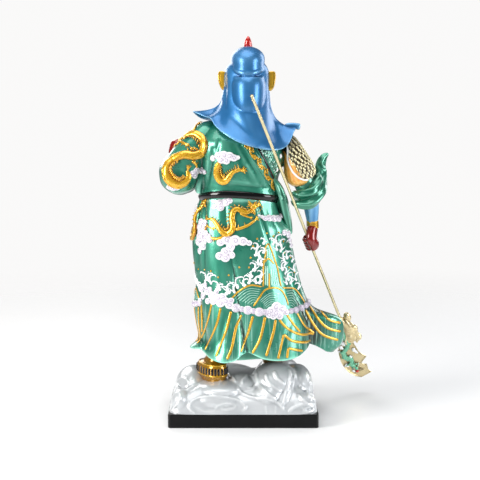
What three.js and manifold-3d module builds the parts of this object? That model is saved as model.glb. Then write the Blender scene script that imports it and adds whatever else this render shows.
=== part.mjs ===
// A cast and painted figure of a bearded general in a long robe, on a carved cloud base and a black plinth.
// He strokes his beard with his left hand and holds a glaive behind him, blade down, with his right.
// Millimetres, +Z up, origin under the middle of the plinth. He faces -Y, and his right hand is at -X.
import * as THREE from 'three';
import { mergeVertices } from 'three/addons/utils/BufferGeometryUtils.js';
import Module from 'manifold-3d';

const wasm = await Module();
wasm.setup();

// Driving dimensions
const PLINTH = { width: 186, depth: 148, height: 17, corner: 4, edge: 1 };
const CLOUDS = { height: 34, margin: 1.5 };
const FIGURE_HEIGHT = 429;
const SHAFT = { diameter: 3.6, above: 229, below: 125 };
const BLADE = { thickness: 2.4, socketDepth: 9 };
const FIT_GAP = 0.3;
const SMALLEST_DETAIL = 0.5;

// The figure is carved to these proportions: the numbers in its functions are millimetres on a figure of
// this height whose left sole is at this level. It keeps them at any other height.
const CARVED = { height: 429, sole: 51, rightStep: 9, shift: 2 };
const figureScale = FIGURE_HEIGHT / CARVED.height;
const soleLevel = PLINTH.height + CLOUDS.height;

// Small helpers
const { sin, cos, abs, hypot, min, max, pow, sign } = Math;
const rad = THREE.MathUtils.degToRad;
const lerp = THREE.MathUtils.lerp;
const clamp = THREE.MathUtils.clamp;
const ease = (low, high, t) => THREE.MathUtils.smoothstep(t, low, high);
const at = (x, y, z) => new THREE.Vector3(x, y, z);
const wave = (x, power) => sign(x) * pow(abs(x), power);

// A smooth curve through [place, value] pairs, level beyond both ends.
function through(keys) {
  const slope = (i) => {
    const [before, after] = [keys[max(i - 1, 0)], keys[min(i + 1, keys.length - 1)]];
    return (after[1] - before[1]) / (after[0] - before[0]);
  };
  return (place) => {
    const x = clamp(place, keys[0][0], keys.at(-1)[0]);
    let i = 0;
    while (i < keys.length - 2 && x > keys[i + 1][0]) i++;
    const span = keys[i + 1][0] - keys[i][0];
    const s = (x - keys[i][0]) / span;
    const bend = slope(i) * span * s * (1 - s) * (1 - s) - slope(i + 1) * span * s * s * (1 - s);
    return keys[i][1] + (keys[i + 1][1] - keys[i][1]) * s * s * (3 - 2 * s) + bend;
  };
}

// A closed skin over rings that all have the same number of points, with a flat fan at each end.
function skin(rings) {
  const n = rings[0].length;
  const points = rings.flat();
  const middle = (ring) => ring.reduce((sum, p) => sum.add(p), at(0, 0, 0)).divideScalar(n);
  points.push(middle(rings[0]), middle(rings.at(-1)));
  const faces = [];
  for (let i = 0; i < rings.length - 1; i++) {
    for (let j = 0; j < n; j++) {
      const [a, b] = [i * n + j, i * n + (j + 1) % n];
      faces.push(a, b, b + n, a, b + n, a + n);
    }
  }
  const last = (rings.length - 1) * n;
  for (let j = 0; j < n; j++) {
    faces.push(n * rings.length, (j + 1) % n, j);
    faces.push(n * rings.length + 1, last + j, last + (j + 1) % n);
  }
  return new THREE.BufferGeometry().setFromPoints(points).setIndex(faces);
}

// A skin whose rings come from pointAt(share along, turn in degrees).
function loft(steps, sides, pointAt) {
  const rings = [];
  for (let i = 0; i <= steps; i++) {
    const ring = [];
    for (let j = 0; j < sides; j++) ring.push(pointAt(i / steps, (360 * j) / sides - 180));
    rings.push(ring);
  }
  return skin(rings);
}

const count = (n, make) => Array.from({ length: n }, (_, i) => make(i));

// A round or oval bar along a smooth path. size(t) gives its half width and half depth.
function bar(path, size, { steps = 8, sides = 10, facing = at(0, 1, 0) } = {}) {
  const curve = new THREE.CatmullRomCurve3(path);
  return loft(steps, sides, (t, turn) => {
    const along = curve.getTangent(t);
    const across = along.clone().cross(facing).normalize();
    const out = across.clone().cross(along);
    const [width, depth] = size(t);
    return curve.getPoint(t)
      .addScaledVector(across, cos(rad(turn)) * width)
      .addScaledVector(out, sin(rad(turn)) * depth);
  });
}

// A bar that narrows to a rounded tip at both ends.
const lock = (path, width, depth, options) =>
  bar(path, (t) => {
    const full = pow(max(sin(Math.PI * clamp(t, 0.02, 0.98)), 0.06), 0.55);
    return [width * full, depth * full];
  }, options);

function ball(centre, radii, across = 16, up = 10) {
  return new THREE.SphereGeometry(1, across, up)
    .rotateX(Math.PI / 2)
    .scale(...radii)
    .translate(centre.x, centre.y, centre.z);
}

function solid(geometry) {
  const bare = geometry.clone();
  bare.deleteAttribute('normal');
  bare.deleteAttribute('uv');
  const merged = mergeVertices(bare, 1e-4);
  const corners = merged.index.array;
  const whole = [];
  for (let i = 0; i < corners.length; i += 3) {
    const [a, b, c] = corners.slice(i, i + 3);
    if (a !== b && b !== c && a !== c) whole.push(a, b, c);
  }
  const made = (order) => new wasm.Manifold(new wasm.Mesh({
    numProp: 3,
    vertProperties: merged.attributes.position.array,
    triVerts: new Uint32Array(order),
  }));
  const first = made(whole);
  return first.volume() > 0 ? first : made([...whole].reverse());
}

// One body from overlapping ones, without the small hollows left between them.
function join(geometries) {
  const sum = geometries.map(solid).reduce((whole, next) => whole.add(next));
  return sum.asOriginal().simplify(SMALLEST_DETAIL).decompose()
    .filter((piece) => piece.volume() > 1)
    .reduce((whole, next) => whole.add(next));
}

function geometryOf(manifold) {
  const { vertProperties, triVerts } = manifold.getMesh();
  const geometry = new THREE.BufferGeometry();
  geometry.setAttribute('position', new THREE.BufferAttribute(vertProperties, 3));
  geometry.setIndex(new THREE.BufferAttribute(triVerts, 1));
  geometry.computeVertexNormals();
  return geometry;
}

// A turn of 0 points to the back (+Y), 90 to his right (-X), and 180 to the front.
const compass = (turn) => [-sin(rad(turn)), cos(rad(turn))];

// An oval at one level, with its own reach to the left, right, back and front of its centre.
function oval(turn, level, { x = 0, y = 0, left, right, back, front, square = 1 }) {
  const [dx, dy] = compass(turn).map((c) => wave(c, square));
  return at(x + dx * (dx > 0 ? left : right), y + dy * (dy > 0 ? back : front), level);
}

// The robe's skirt: each fold line has a turn at the belt, a turn at the hem and how deep it cuts in at
// the hem.
const skirtForm = {
  top: 287,
  left: through([[80, 66], [86, 65], [95, 59], [105, 57], [122, 59], [143, 61], [158, 60], [170, 58.5],
    [190, 60],
    [211, 62], [233, 62], [254, 59], [275, 54], [287, 51]]),
  right: through([[80, 97], [100, 98], [120, 96], [135, 90], [148, 84], [160, 79], [176, 74], [196, 69],
    [212, 66],
    [228, 62], [240, 63], [250, 58], [262, 51], [287, 49]]),
  back: through([[80, 70], [90, 68], [109, 64], [130, 61], [160, 58], [200, 55], [240, 51], [262, 46],
    [287, 41]]),
  front: through([[80, 72], [100, 66], [130, 58], [160, 54], [200, 50], [240, 47], [262, 43], [287, 39]]),
  flare: through([[80, 24], [88, 32], [105, 34], [120, 32], [128, 25], [135, 12], [142, 4], [150, 0]]),
  hemLevel: through([[-180, 85], [-150, 82], [-128, 88], [-106, 87], [-92, 93], [-78, 89], [-62, 91],
    [-44, 84],
    [-22, 80], [-8, 83], [5, 91], [18, 84], [32, 81.5], [46, 84], [58, 91], [68, 101], [74, 104], [80, 88],
    [85, 82],
    [98, 79], [110, 80], [120, 86], [130, 97], [142, 86], [156, 92], [168, 83], [180, 85]]),
  folds: [
    { top: -64, hem: -60, depth: 6 },
    { top: -24, hem: 5, depth: 14 },
    { top: 38, hem: 75, depth: 16 },
    { top: 88, hem: 128, depth: 14, flared: true },
    { top: 128, hem: 156, depth: 10 },
    { top: 170, hem: 184, depth: 11 },
    { top: 212, hem: 214, depth: 10 },
    { top: 254, hem: 250, depth: 9 },
  ],
};

// How far a turn is towards a fold line (0 on the line, 1 on the crest between two) and that place's fold
// values.
function foldAt(turn, drop) {
  const folds = skirtForm.folds;
  const place = (i) => {
    const fold = folds[(i + folds.length) % folds.length];
    return lerp(fold.top, fold.hem, drop) + 360 * Math.floor(i / folds.length);
  };
  let i = -1;
  while (turn < place(i)) i--;
  while (turn >= place(i + 1)) i++;
  const share = (turn - place(i)) / (place(i + 1) - place(i));
  const [a, b] = [folds[(i + folds.length) % folds.length], folds[(i + 1 + folds.length) % folds.length]];
  return {
    crest: pow(sin(Math.PI * clamp(share, 0, 1)), 0.7),
    depth: lerp(a.depth, b.depth, share),
    flared: Boolean(b.flared),
  };
}

function skirtPoint(turn, drop, inset = 0, raise = 0) {
  const { top, left, right, back, front, flare, hemLevel } = skirtForm;
  const fold = foldAt(turn, drop);
  const level = lerp(top, hemLevel(turn), drop);
  const point = oval(turn, level + raise, { left: left(level), right: right(level), back: back(level),
    front: front(level) });
  const reach = hypot(point.x, point.y);
  const cut = fold.depth * (1 - fold.crest) * (0.1 + 0.9 * pow(drop, 1.6)) + inset;
  point.x *= 1 - cut / reach;
  point.y *= 1 - cut / reach;
  if (fold.flared) point.x -= flare(level) * fold.crest;
  return point;
}

// The rings have more points round the lobe that blows out at his right.
function skirt() {
  const turns = [...count(28, (i) => -180 + i * 8.5), ...count(15, (i) => 60 + i * 5),
    ...count(5, (i) => 139 + i * 8.5)];
  const ring = (pointAt) => turns.map(pointAt);
  const steps = 11;
  const rings = count(steps + 1, (i) => ring((turn) => skirtPoint(turn, pow(i / steps, 0.85))));
  rings.push(ring((turn) => skirtPoint(turn, 1, 3, 0.6)));
  rings.push(ring((turn) => skirtPoint(turn, 0.96, 9)));
  rings.push(ring((turn) => skirtPoint(turn, 0.88, 24)));
  return skin(rings);
}

// The robe's upper half
const torsoForm = {
  left: through([[276, 52], [292, 51], [310, 53], [330, 58], [350, 62], [363, 56], [374, 40], [384, 24],
    [394, 20]]),
  right: through([[276, 50], [292, 47], [310, 46], [330, 54], [350, 61], [363, 55], [374, 42], [384, 24],
    [394, 20]]),
  back: through([[276, 43], [292, 42], [310, 45], [330, 48], [350, 46], [363, 39], [374, 31], [384, 24],
    [394, 22]]),
  front: through([[276, 40], [292, 41], [310, 45], [330, 47], [350, 43], [363, 35], [374, 28], [384, 24],
    [394, 22]]),
  lean: through([[276, 1], [310, 0], [350, -3], [374, -7], [394, -8]]),
};

function torsoPoint(turn, level, proud = 0) {
  const { left, right, back, front, lean } = torsoForm;
  return oval(turn, level, {
    x: lean(level),
    left: left(level) + proud,
    right: right(level) + proud,
    back: back(level) + proud,
    front: front(level) + proud,
    square: 0.88,
  });
}

const torso = () => loft(7, 22, (share, turn) => torsoPoint(turn, lerp(276, 394, share)));

// A band that lies on the torso, through [turn, level] places.
function bandOnTorso(places, width, depth, steps = 9) {
  const path = places.map(([turn, level]) => torsoPoint(turn, level, -depth * 0.3));
  const curve = new THREE.CatmullRomCurve3(path);
  return loft(steps, 6, (t, turn) => {
    const point = curve.getPoint(t);
    const along = curve.getTangent(t);
    const out = at(point.x + 5, point.y, 0).normalize();
    const across = along.clone().cross(out).normalize();
    return point
      .addScaledVector(across, cos(rad(turn)) * width)
      .addScaledVector(out, sin(rad(turn)) * depth);
  });
}

function belt() {
  const rings = [[279.6, -3], [279.6, 2.4], [281, 3.6], [289.6, 3.6], [291, 2.4], [291, -3]];
  return skin(rings.map(([level, proud]) =>
    count(24, (j) => torsoPoint(15 * j - 180, level, proud))));
}

// The hood: a cap over the head that falls into a short cape. Its edge swings out to a point over each
// shoulder.
const hoodForm = {
  x: -8,
  capeY: 5,
  neck: 404,
  crownWidth: through([[404, 28.5], [415, 27], [430, 27.4], [442, 25.5], [452, 20], [458, 8]]),
  crownBack: through([[404, 34], [415, 33], [430, 30], [442, 26], [452, 18], [458, 8]]),
  crownFront: through([[404, 8], [415, 9], [430, 14], [442, 20], [452, 16], [458, 8]]),
  edgeReach: through([[-180, 38], [-135, 46], [-106, 62], [-94, 69], [-80, 56], [-66, 50.5], [-33, 51.5],
    [2, 53],
    [32, 55], [60, 56], [78, 58], [90, 66], [104, 58], [135, 44], [180, 38]]),
  edgeLevel: through([[-180, 368], [-135, 373], [-106, 379], [-94, 387], [-80, 382], [-66, 379],
    [-54, 371], [-33, 359],
    [-14, 350], [2, 345], [18, 342], [34, 341.5], [51, 344], [66, 352], [77, 361], [90, 369], [104, 364],
    [135, 367],
    [180, 368]]),
};

function hoodPoint(share, turn) {
  const { x, capeY, neck, crownWidth, crownBack, crownFront, edgeReach, edgeLevel } = hoodForm;
  const crown = (level) => oval(turn, level, {
    x, left: crownWidth(level), right: crownWidth(level), back: crownBack(level), front: crownFront(level),
  });
  const split = 0.45;
  if (share < split) return crown(lerp(458, neck, pow(share / split, 0.9)));
  const fall = (share - split) / (1 - split);
  const start = crown(neck);
  const [dx, dy] = compass(turn);
  const reach = edgeReach(turn);
  const end = at(x + dx * reach, capeY + dy * reach, edgeLevel(turn));
  const outward = pow(fall, lerp(1.1, 1.9, abs(dx)));
  const level = lerp(start.z, end.z, 1 - pow(1 - fall, lerp(1.15, 1.9, abs(dx))));
  return at(lerp(start.x, end.x, outward), lerp(start.y, end.y, outward), level);
}

function hood() {
  const ring = (pointAt) => count(32, (j) => pointAt(11.25 * j - 180));
  const rings = count(9, (i) => ring((turn) => hoodPoint(pow(i / 8, 0.8), turn)));
  const under = (share, inward, drop) => rings.push(ring((turn) => {
    const [dx, dy] = compass(turn);
    return hoodPoint(share, turn).sub(at(dx * inward, dy * inward, drop));
  }));
  under(1, 1.6, 1.6);
  under(0.88, 3, 3);
  under(0.72, 6, 2);
  return skin(rings);
}

const headParts = () => [
  hood(),
  ball(at(-7.6, 6, 445.5), [20.6, 27, 21], 14, 8),
  ball(at(-8.6, 16, 411), [18.6, 27, 24], 12, 8),
  // brim of the cap and the finial above it
  loft(2, 20, (share, turn) => oval(turn, lerp(428, 437, share), {
    x: -8, y: -8, left: 24, right: 24, back: 8, front: 26 + 2 * share,
  })),
  bar([at(-8, -17, 452), at(-8, -13, 462), at(-8, -9, 472), at(-8, -8, 480)],
    (t) => [5.2, 5.2].map((r) => r * pow(max(1 - pow(t, 2.6), 0.02), 0.6)), { steps: 5, sides: 8 }),
  ball(at(-8, -31, 441), [8, 4, 10], 8, 6),
  ...[-1, 1].map((side) => wing(side)),
];

// The curled gold wing at each side of the cap.
function wing(side) {
  const root = at(-8 + side * 24, 0, 425);
  const spread = side > 0 ? 1 : 0.6;
  const path = [[0, 0, -11], [5, 1, -7], [8.5, 1, 1], [9.5, 0, 9], [7, -1, 12]];
  return bar(path.map(([x, y, z]) => at(root.x + side * x * spread, root.y + y, root.z + z)),
    (t) => [4.4 - 1.6 * t, 3 - 0.8 * t], { steps: 5, sides: 6 });
}

// The face, built on plain thirds: brow, base of the nose and chin a third of its height apart.
function face() {
  const [chin, brim, x0] = [382, 434, -8];
  const bump = (x, z, wide, high) => Math.exp(-pow(x / wide, 2) - pow(z / high, 2));
  const width = through([[0, 5], [0.08, 11], [0.3, 17], [0.55, 19.5], [0.8, 19], [1, 16]]);
  const depth = through([[0, 8], [0.08, 14], [0.3, 20], [0.55, 22], [0.8, 22], [1, 18]]);
  return loft(12, 18, (share, turn) => {
    const z = lerp(chin, brim, share);
    const spread = turn + 28 * sin(rad(turn)) * cos(rad(turn));
    const [dx, dy] = compass(spread);
    const p = at(x0 + dx * width(share), -13 + dy * depth(share), z);
    if (dy > 0) return p;
    const x = p.x - x0;
    const nose = 6 * bump(x, z - 402, 3.4, 4) + 3 * bump(x, z - 410, 2.6, 7);
    const brow = 1.8 * bump(abs(x) - 8, z - 421, 6, 2.6);
    const socket = -2 * bump(abs(x) - 8, z - 414, 5, 3.4);
    const cheek = 1.6 * bump(abs(x) - 11, z - 404, 5, 5);
    const lips = 1.6 * bump(x, z - 394, 6, 2.6);
    p.y -= nose + brow + socket + cheek + lips;
    return p;
  });
}

// The long beard: a fluted fall over the chest, a lock drawn aside through the left fist, and the moustache.
function beard() {
  const middle = { x: through([[0, -8], [0.5, -7], [1, -2]]), y: through([[0, -29], [0.2, -37], [0.6, -47],
    [1, -52]]) };
  const width = through([[0, 14], [0.12, 18], [0.45, 16], [0.8, 11], [1, 3]]);
  const depth = through([[0, 5], [0.15, 10], [0.6, 8], [1, 3]]);
  const fall = loft(6, 20, (share, turn) => {
    const [dx, dy] = compass(turn);
    const flute = 1 - 0.16 * (0.5 + 0.5 * cos(rad(turn * 5 + 90 * share)));
    return at(middle.x(share) + dx * width(share) * flute, middle.y(share) + dy * depth(share) * flute,
      lerp(397, 296, share));
  });
  const drawn = lock([at(2, -36, 388), at(26, -52, 374), at(54, -67, 355), at(74, -72, 343), at(85, -71, 330),
    at(88, -70, 316), at(87, -70, 300)], 6, 5, { steps: 8, sides: 6, facing: at(0, -1, 0.4) });
  const moustache = [-1, 1].map((side) => lock([at(-8 + side * 2, -38, 398), at(-8 + side * 9, -37, 394),
    at(-8 + side * 15, -37, 382), at(-8 + side * 16, -40, 366)], 2.6, 2.4,
      { steps: 5, sides: 5, facing: at(0, -1, 0) }));
  return [fall, drawn, ...moustache];
}

// A fist closed round a line: four curled fingers, the back of the hand from the wrist, and the thumb.
function fist(centre, axis, outward, wrist) {
  const reach = 4.8;
  const side = axis.clone().cross(outward).normalize();
  const back = side.clone().cross(axis).normalize();
  const place = (along, toBack, toSide) => centre.clone()
    .addScaledVector(axis, along)
    .addScaledVector(back, toBack)
    .addScaledVector(side, toSide);
  const curl = (along) => [40, 95, 150, 205, 260].map((turn) =>
    place(along, cos(rad(turn)) * reach, sin(rad(turn)) * reach));
  const fingers = [-6.6, -2.2, 2.2, 6.6].map((along) =>
    bar(curl(along), (t) => [2.9 - 0.5 * t, 2.9 - 0.5 * t], { steps: 4, sides: 5, facing: axis }));
  const thumb = bar([place(-8, 5, -4), place(-10, 0, -6.5), place(-8, -5, -5)], () => [2.7, 2.7], {
    steps: 3, sides: 6, facing: axis,
  });
  const hand = bar([wrist, place(-8, reach, 0.5), place(1, reach + 0.8, 1), place(9, reach - 1, 1)],
    (t) => [6.4 + 1.4 * sin(3 * t), 4.6], { steps: 5, sides: 8, facing: outward });
  return [...fingers, thumb, hand];
}

const grip = { centre: at(-88.1, -3.6, 217.5), axis: at(-119.2, -154.6, -295.4).normalize() };
const beardGrip = { centre: at(84, -66, 334), axis: at(0.2, -0.05, -1).normalize() };

// The left arm: a wide sleeve bent at the elbow, open to the front, with the forearm and fist coming out
// of it.
function leftArm() {
  const upper = bar([at(28, -2, 356), at(42, 1, 354), at(58, 6, 339), at(70, 10, 322), at(76, 12, 310)],
    (t) => [through([[0, 18], [0.3, 21], [0.6, 23], [1, 25]])(t), through([[0, 20], [0.5, 25], [1, 26]])(t)],
    { steps: 5, sides: 12 });
  const sleeve = { x: 78, level: 309 };
  const rim = (y, wide, high, drop) => count(14, (j) => {
    const turn = rad((360 / 14) * j);
    return at(sleeve.x + cos(turn) * wide, y, sleeve.level - drop + sin(turn) * high);
  });
  const lower = skin([rim(37, 8, 8, 0), rim(33, 17, 17, 0), rim(24, 23, 23, 0), rim(10, 25.5, 26, 0),
    rim(-12, 26, 27, 1),
    rim(-36, 26, 28, 1), rim(-54, 26, 29, 1), rim(-55, 23.5, 26.5, 1), rim(-40, 19, 22, 1),
      rim(-32, 8, 10, 1)]);
  const forearm = bar([at(78, -20, 312), at(80, -42, 320), at(83, -60, 331)], (t) => [11 - 3 * t, 11 - 3 * t],
    { steps: 3, sides: 10, facing: at(1, 0, 0) });
  return [upper, lower, forearm, ...fist(beardGrip.centre, beardGrip.axis, at(0.5, 1, 0), at(83, -56, 331))];
}

// The right arm: a scaled shoulder guard on a cloth lining, a rolled sleeve under it, then forearm, cuff
// and fist.
function rightArm() {
  const limb = bar([at(-50, 2, 348), at(-68, 5, 322), at(-80, 6, 296), at(-87, 4, 272), at(-89.5, 0, 250),
    at(-90, -2, 236)],
    (t) => Array(2).fill(through([[0, 15], [0.35, 15], [0.6, 12], [0.7, 10.5], [0.92, 6.6], [1, 6.6]])(t)),
    { steps: 8, sides: 10 });
  const guard = bar([at(-52, 3, 364), at(-58, 6, 350), at(-67.5, 8, 331), at(-77, 9, 314), at(-82, 9, 303)],
    (t) => [through([[0, 5], [0.25, 11], [0.6, 14.5], [0.85, 14], [1, 9]])(t),
      through([[0, 8], [0.3, 19], [0.7, 22], [1, 17]])(t)], { steps: 6, sides: 14 });
  const lining = bar([at(-54, 4, 356), at(-64, 7, 332), at(-70, 8, 312), at(-75, 9, 293)],
    (t) => [through([[0, 7], [0.4, 14], [0.75, 17.5], [1, 10]])(t),
      through([[0, 10], [0.5, 20], [1, 16]])(t)],
    { steps: 5, sides: 12 });
  const rolls = [
    lock([at(-62, 10, 276), at(-70, 20, 272), at(-85, 21, 273), at(-96, 12, 286), at(-99, -2, 302),
      at(-99.5, -8, 318),
      at(-106, -9, 334)], 8.5, 7, { steps: 9, sides: 7, facing: at(0, 0, 1) }),
    lock([at(-63, 12, 287), at(-72, 21, 284), at(-86, 21, 288), at(-95, 12, 303), at(-97, 0, 316)], 8, 7,
      { steps: 6, sides: 7, facing: at(0, 0, 1) }),
    lock([at(-64, 2, 284), at(-70, -14, 280), at(-85, -18, 280), at(-96, -9, 292), at(-98, 2, 308)], 11, 8,
      { steps: 6, sides: 7, facing: at(0, 0, 1) }),
  ];
  const cuff = bar([at(-89.6, -0.5, 250), at(-90, -1.6, 239)], () => [8.2, 8.2], { steps: 1, sides: 14 });
  return [limb, guard, lining, ...rolls, cuff, ...fist(grip.centre, grip.axis, at(-0.8, 0.6, 0.1),
    at(-90, -1.5, 243))];
}

// One boot: a thick sole, the foot and the start of the leg, which runs up under the robe.
const bootSize = { length: 52, width: 27, welt: [1.08, 1.12] };

function bootRing({ heel, yaw }, level, long, wide, shift, gap = 0) {
  const [fx, fy] = compass(180 + yaw);
  return count(14, (j) => {
    const turn = rad((360 / 14) * j);
    const along = bootSize.length * (0.5 + shift) + (bootSize.length * 0.5 * long + gap) *
      wave(cos(turn), 0.85);
    const across = (bootSize.width * 0.5 * wide + gap) * wave(sin(turn), 0.85);
    return at(heel.x + fx * along + fy * across, heel.y + fy * along - fx * across, level);
  });
}

function boot(stance) {
  const rings = [[0, 1, 1, 0], [1.2, 1.04, 1.06, 0], [7.5, ...bootSize.welt, 0], [9, 0.98, 0.98, 0],
    [15, 0.94, 0.94, 0.01],
    [22, 0.72, 0.9, -0.1], [30, 0.5, 0.84, -0.18], [60, 0.5, 0.9, -0.16]];
  return skin(rings.map(([rise, long, wide, shift]) => bootRing(stance, stance.sole + rise, long, wide, shift)));
}

const boots = [
  { heel: at(27, 42, 0), yaw: 24, sole: CARVED.sole },
  { heel: at(-36, -10, 0), yaw: -18, sole: CARVED.sole + CARVED.rightStep },
];

// Cloth that hangs at each side of the waist, and the belt's two ends in front.
const sashes = () => [
  lock([at(-44, 12, 296), at(-51, 10, 276), at(-56, 10, 256), at(-63, 6, 233)], 6, 9, { steps: 6, sides: 6 }),
  lock([at(49, 8, 282), at(54, 8, 256), at(57, 6, 226), at(57, 4, 196)], 5, 12, { steps: 6, sides: 6 }),
  lock([at(-3, -42, 292), at(-7, -45, 272), at(-10, -47, 246), at(-13, -50, 214)], 6, 4,
    { steps: 6, sides: 6 }),
  lock([at(3, -42, 292), at(7, -45, 276), at(9, -47, 256), at(13, -49, 230)], 6, 4, { steps: 5, sides: 6 }),
];

function figure() {
  const parts = [
    skirt(),
    torso(),
    belt(),
    ...headParts(),
    face(),
    ...beard(),
    ...leftArm(),
    ...rightArm(),
    ...boots.map(boot),
    ...sashes(),
    bandOnTorso([[-8, 352], [14, 340], [36, 322], [56, 304], [72, 291]], 6.5, 2.4),
    bandOnTorso([[-128, 356], [-150, 344], [-172, 328], [168, 311], [140, 293]], 6.5, 2.4),
  ];
  const bore = new THREE.CylinderGeometry(1, 1, 2 * (SHAFT.above + FIT_GAP) / figureScale, 16)
    .scale((SHAFT.diameter / 2 + FIT_GAP) / figureScale, 1, (SHAFT.diameter / 2 + FIT_GAP) / figureScale)
    .applyQuaternion(new THREE.Quaternion().setFromUnitVectors(at(0, 1, 0), grip.axis))
    .translate(grip.centre.x, grip.centre.y, grip.centre.z);
  return geometryOf(join(parts).subtract(solid(bore)));
}

// The cloud base: a low bank with mounds of cloud on it, curls along its faces, and a flat seat for each
// boot.
const mounds = [
  { x: -42, y: 16, level: 22, size: [36, 24, 25] }, { x: -46, y: -34, level: 26, size: [30, 36, 24] },
  { x: -74, y: -2, level: 22, size: [16, 40, 19] }, { x: 4, y: 26, level: 26, size: [18, 20, 12] },
  { x: 66, y: 14, level: 22, size: [20, 40, 15] }, { x: 20, y: -50, level: 20, size: [40, 19, 17] },
];

// Curls on the four faces: where the middle is along the face and up it, and their half width and half
// height.
const curls = [
  { face: 0, along: -20, rise: 20, wide: 24, high: 12, hand: 1 },
  { face: 0, along: 66, rise: 12, wide: 14, high: 8, hand: -1 },
  { face: 0, along: 34, rise: 22, wide: 15, high: 11, hand: 1 },
  { face: 90, along: -30, rise: 16, wide: 18, high: 11, hand: 1 },
  { face: 90, along: 26, rise: 18, wide: 18, high: 12, hand: -1 },
  { face: -90, along: 24, rise: 16, wide: 20, high: 11, hand: 1 },
  { face: -90, along: -32, rise: 18, wide: 16, high: 11, hand: -1 },
  { face: 180, along: -52, rise: 14, wide: 22, high: 10, hand: 1 },
  { face: 180, along: 2, rise: 19, wide: 20, high: 12, hand: -1 },
  { face: 180, along: 54, rise: 15, wide: 22, high: 10, hand: 1 },
];

function cloudBase() {
  const half = { x: PLINTH.width / 2 - CLOUDS.margin, y: PLINTH.depth / 2 - CLOUDS.margin };
  const corner = 0.36;
  const shrink = through([[0, 1], [0.15, 0.99], [0.45, 0.93], [0.75, 0.84], [1, 0.7]]);
  const bankPoint = (share, turn) => {
    const ripple = 1 - 0.03 * ease(0.5, 1, share) * (1 + cos(rad(turn * 9)));
    const [dx, dy] = compass(turn).map((c) => wave(c, corner) * shrink(share) * ripple);
    return at(dx * half.x, dy * half.y, CLOUDS.height * share);
  };
  const spread = { x: half.x / 91.5, y: half.y / 72.5, z: CLOUDS.height / 34 };
  const heads = mounds.map(({ x, y, level, size }) =>
    ball(at(x * spread.x, y * spread.y, level * spread.z), [size[0] * spread.x, size[1] * spread.y,
      size[2] * spread.z], 12, 7));
  const swirls = curls.map(({ face: turned, along, rise, wide, high, hand }) => {
    const sideways = turned % 180 === 0 ? ['x', 'y'] : ['y', 'x'];
    const outward = turned === 0 || turned === -90 ? 1 : -1;
    const path = count(9, (i) => {
      const angle = rad(-80 + i * 50);
      const r = 1 - i / 10;
      const share = clamp((rise + high * r * sin(angle)) / 34, 0.05, 0.95);
      const [u, v] = sideways.map((name) => half[name] * shrink(share));
      const place = clamp((along + hand * wide * r * cos(angle)) * spread[sideways[0]], -u * 0.97, u * 0.97);
      const out = v * pow(1 - pow(abs(place) / u, 2 / corner), corner / 2) * outward;
      const point = at(0, 0, CLOUDS.height * share);
      point[sideways[0]] = place;
      point[sideways[1]] = out;
      return point;
    });
    return bar(path, (t) => [2.6 - 1.2 * t, 1.8 - 0.8 * t], { steps: 8, sides: 4, facing: at(0, 0, 1) });
  });
  const block = new THREE.BoxGeometry(2 * half.x, 2 * half.y, 3 * CLOUDS.height)
    .translate(0, 0, 1.5 * CLOUDS.height);
  const seats = boots.map((stance) => {
    const floor = stance.sole - CARVED.sole;
    const rings = [floor, floor + 80].map((level) => bootRing(stance, level, ...bootSize.welt, 0,
      FIT_GAP / figureScale));
    return skin(rings).translate(CARVED.shift / figureScale, 0, 0)
      .scale(figureScale, figureScale, figureScale)
      .translate(0, 0, CLOUDS.height - FIT_GAP);
  });
  const mass = join([loft(5, 36, bankPoint), ...heads, ...swirls]).intersect(solid(block));
  return geometryOf(seats.reduce((rock, seat) => rock.subtract(solid(seat)), mass));
}

function plinth() {
  const { width, depth, height, corner, edge } = PLINTH;
  const [x, y] = [width / 2 - edge, depth / 2 - edge];
  const outline = new THREE.Shape();
  const r = corner - edge;
  outline.moveTo(-x + r, -y).lineTo(x - r, -y).absarc(x - r, -y + r, r, -Math.PI / 2, 0);
  outline.lineTo(x, y - r).absarc(x - r, y - r, r, 0, Math.PI / 2);
  outline.lineTo(-x + r, y).absarc(-x + r, y - r, r, Math.PI / 2, Math.PI);
  outline.lineTo(-x, -y + r).absarc(-x + r, -y + r, r, Math.PI, 1.5 * Math.PI);
  return new THREE.ExtrudeGeometry(outline, {
    depth: height - 2 * edge, bevelThickness: edge, bevelSize: edge, bevelSegments: 1, curveSegments: 2,
  }).translate(0, 0, edge);
}

// The glaive lies along its own X axis, with X = 0 where the blade's socket starts and its edge towards -Y.
const bladeOutline = (() => {
  const shape = new THREE.Shape();
  shape.moveTo(34, 3).lineTo(33, -8);
  shape.bezierCurveTo(42, -17, 54, -20.5, 70, -20.5);
  shape.bezierCurveTo(84, -20, 100, -15, 107, -2);
  shape.lineTo(104.5, 13.5);
  shape.bezierCurveTo(102, 11.5, 98, 8.5, 96, 10.5).lineTo(90, 11);
  shape.bezierCurveTo(88.5, 7, 86, 5, 83, 5).lineTo(76.5, 14);
  shape.bezierCurveTo(73, 12.5, 69, 8, 64, 7);
  shape.lineTo(34, 3);
  return shape;
})();

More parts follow.
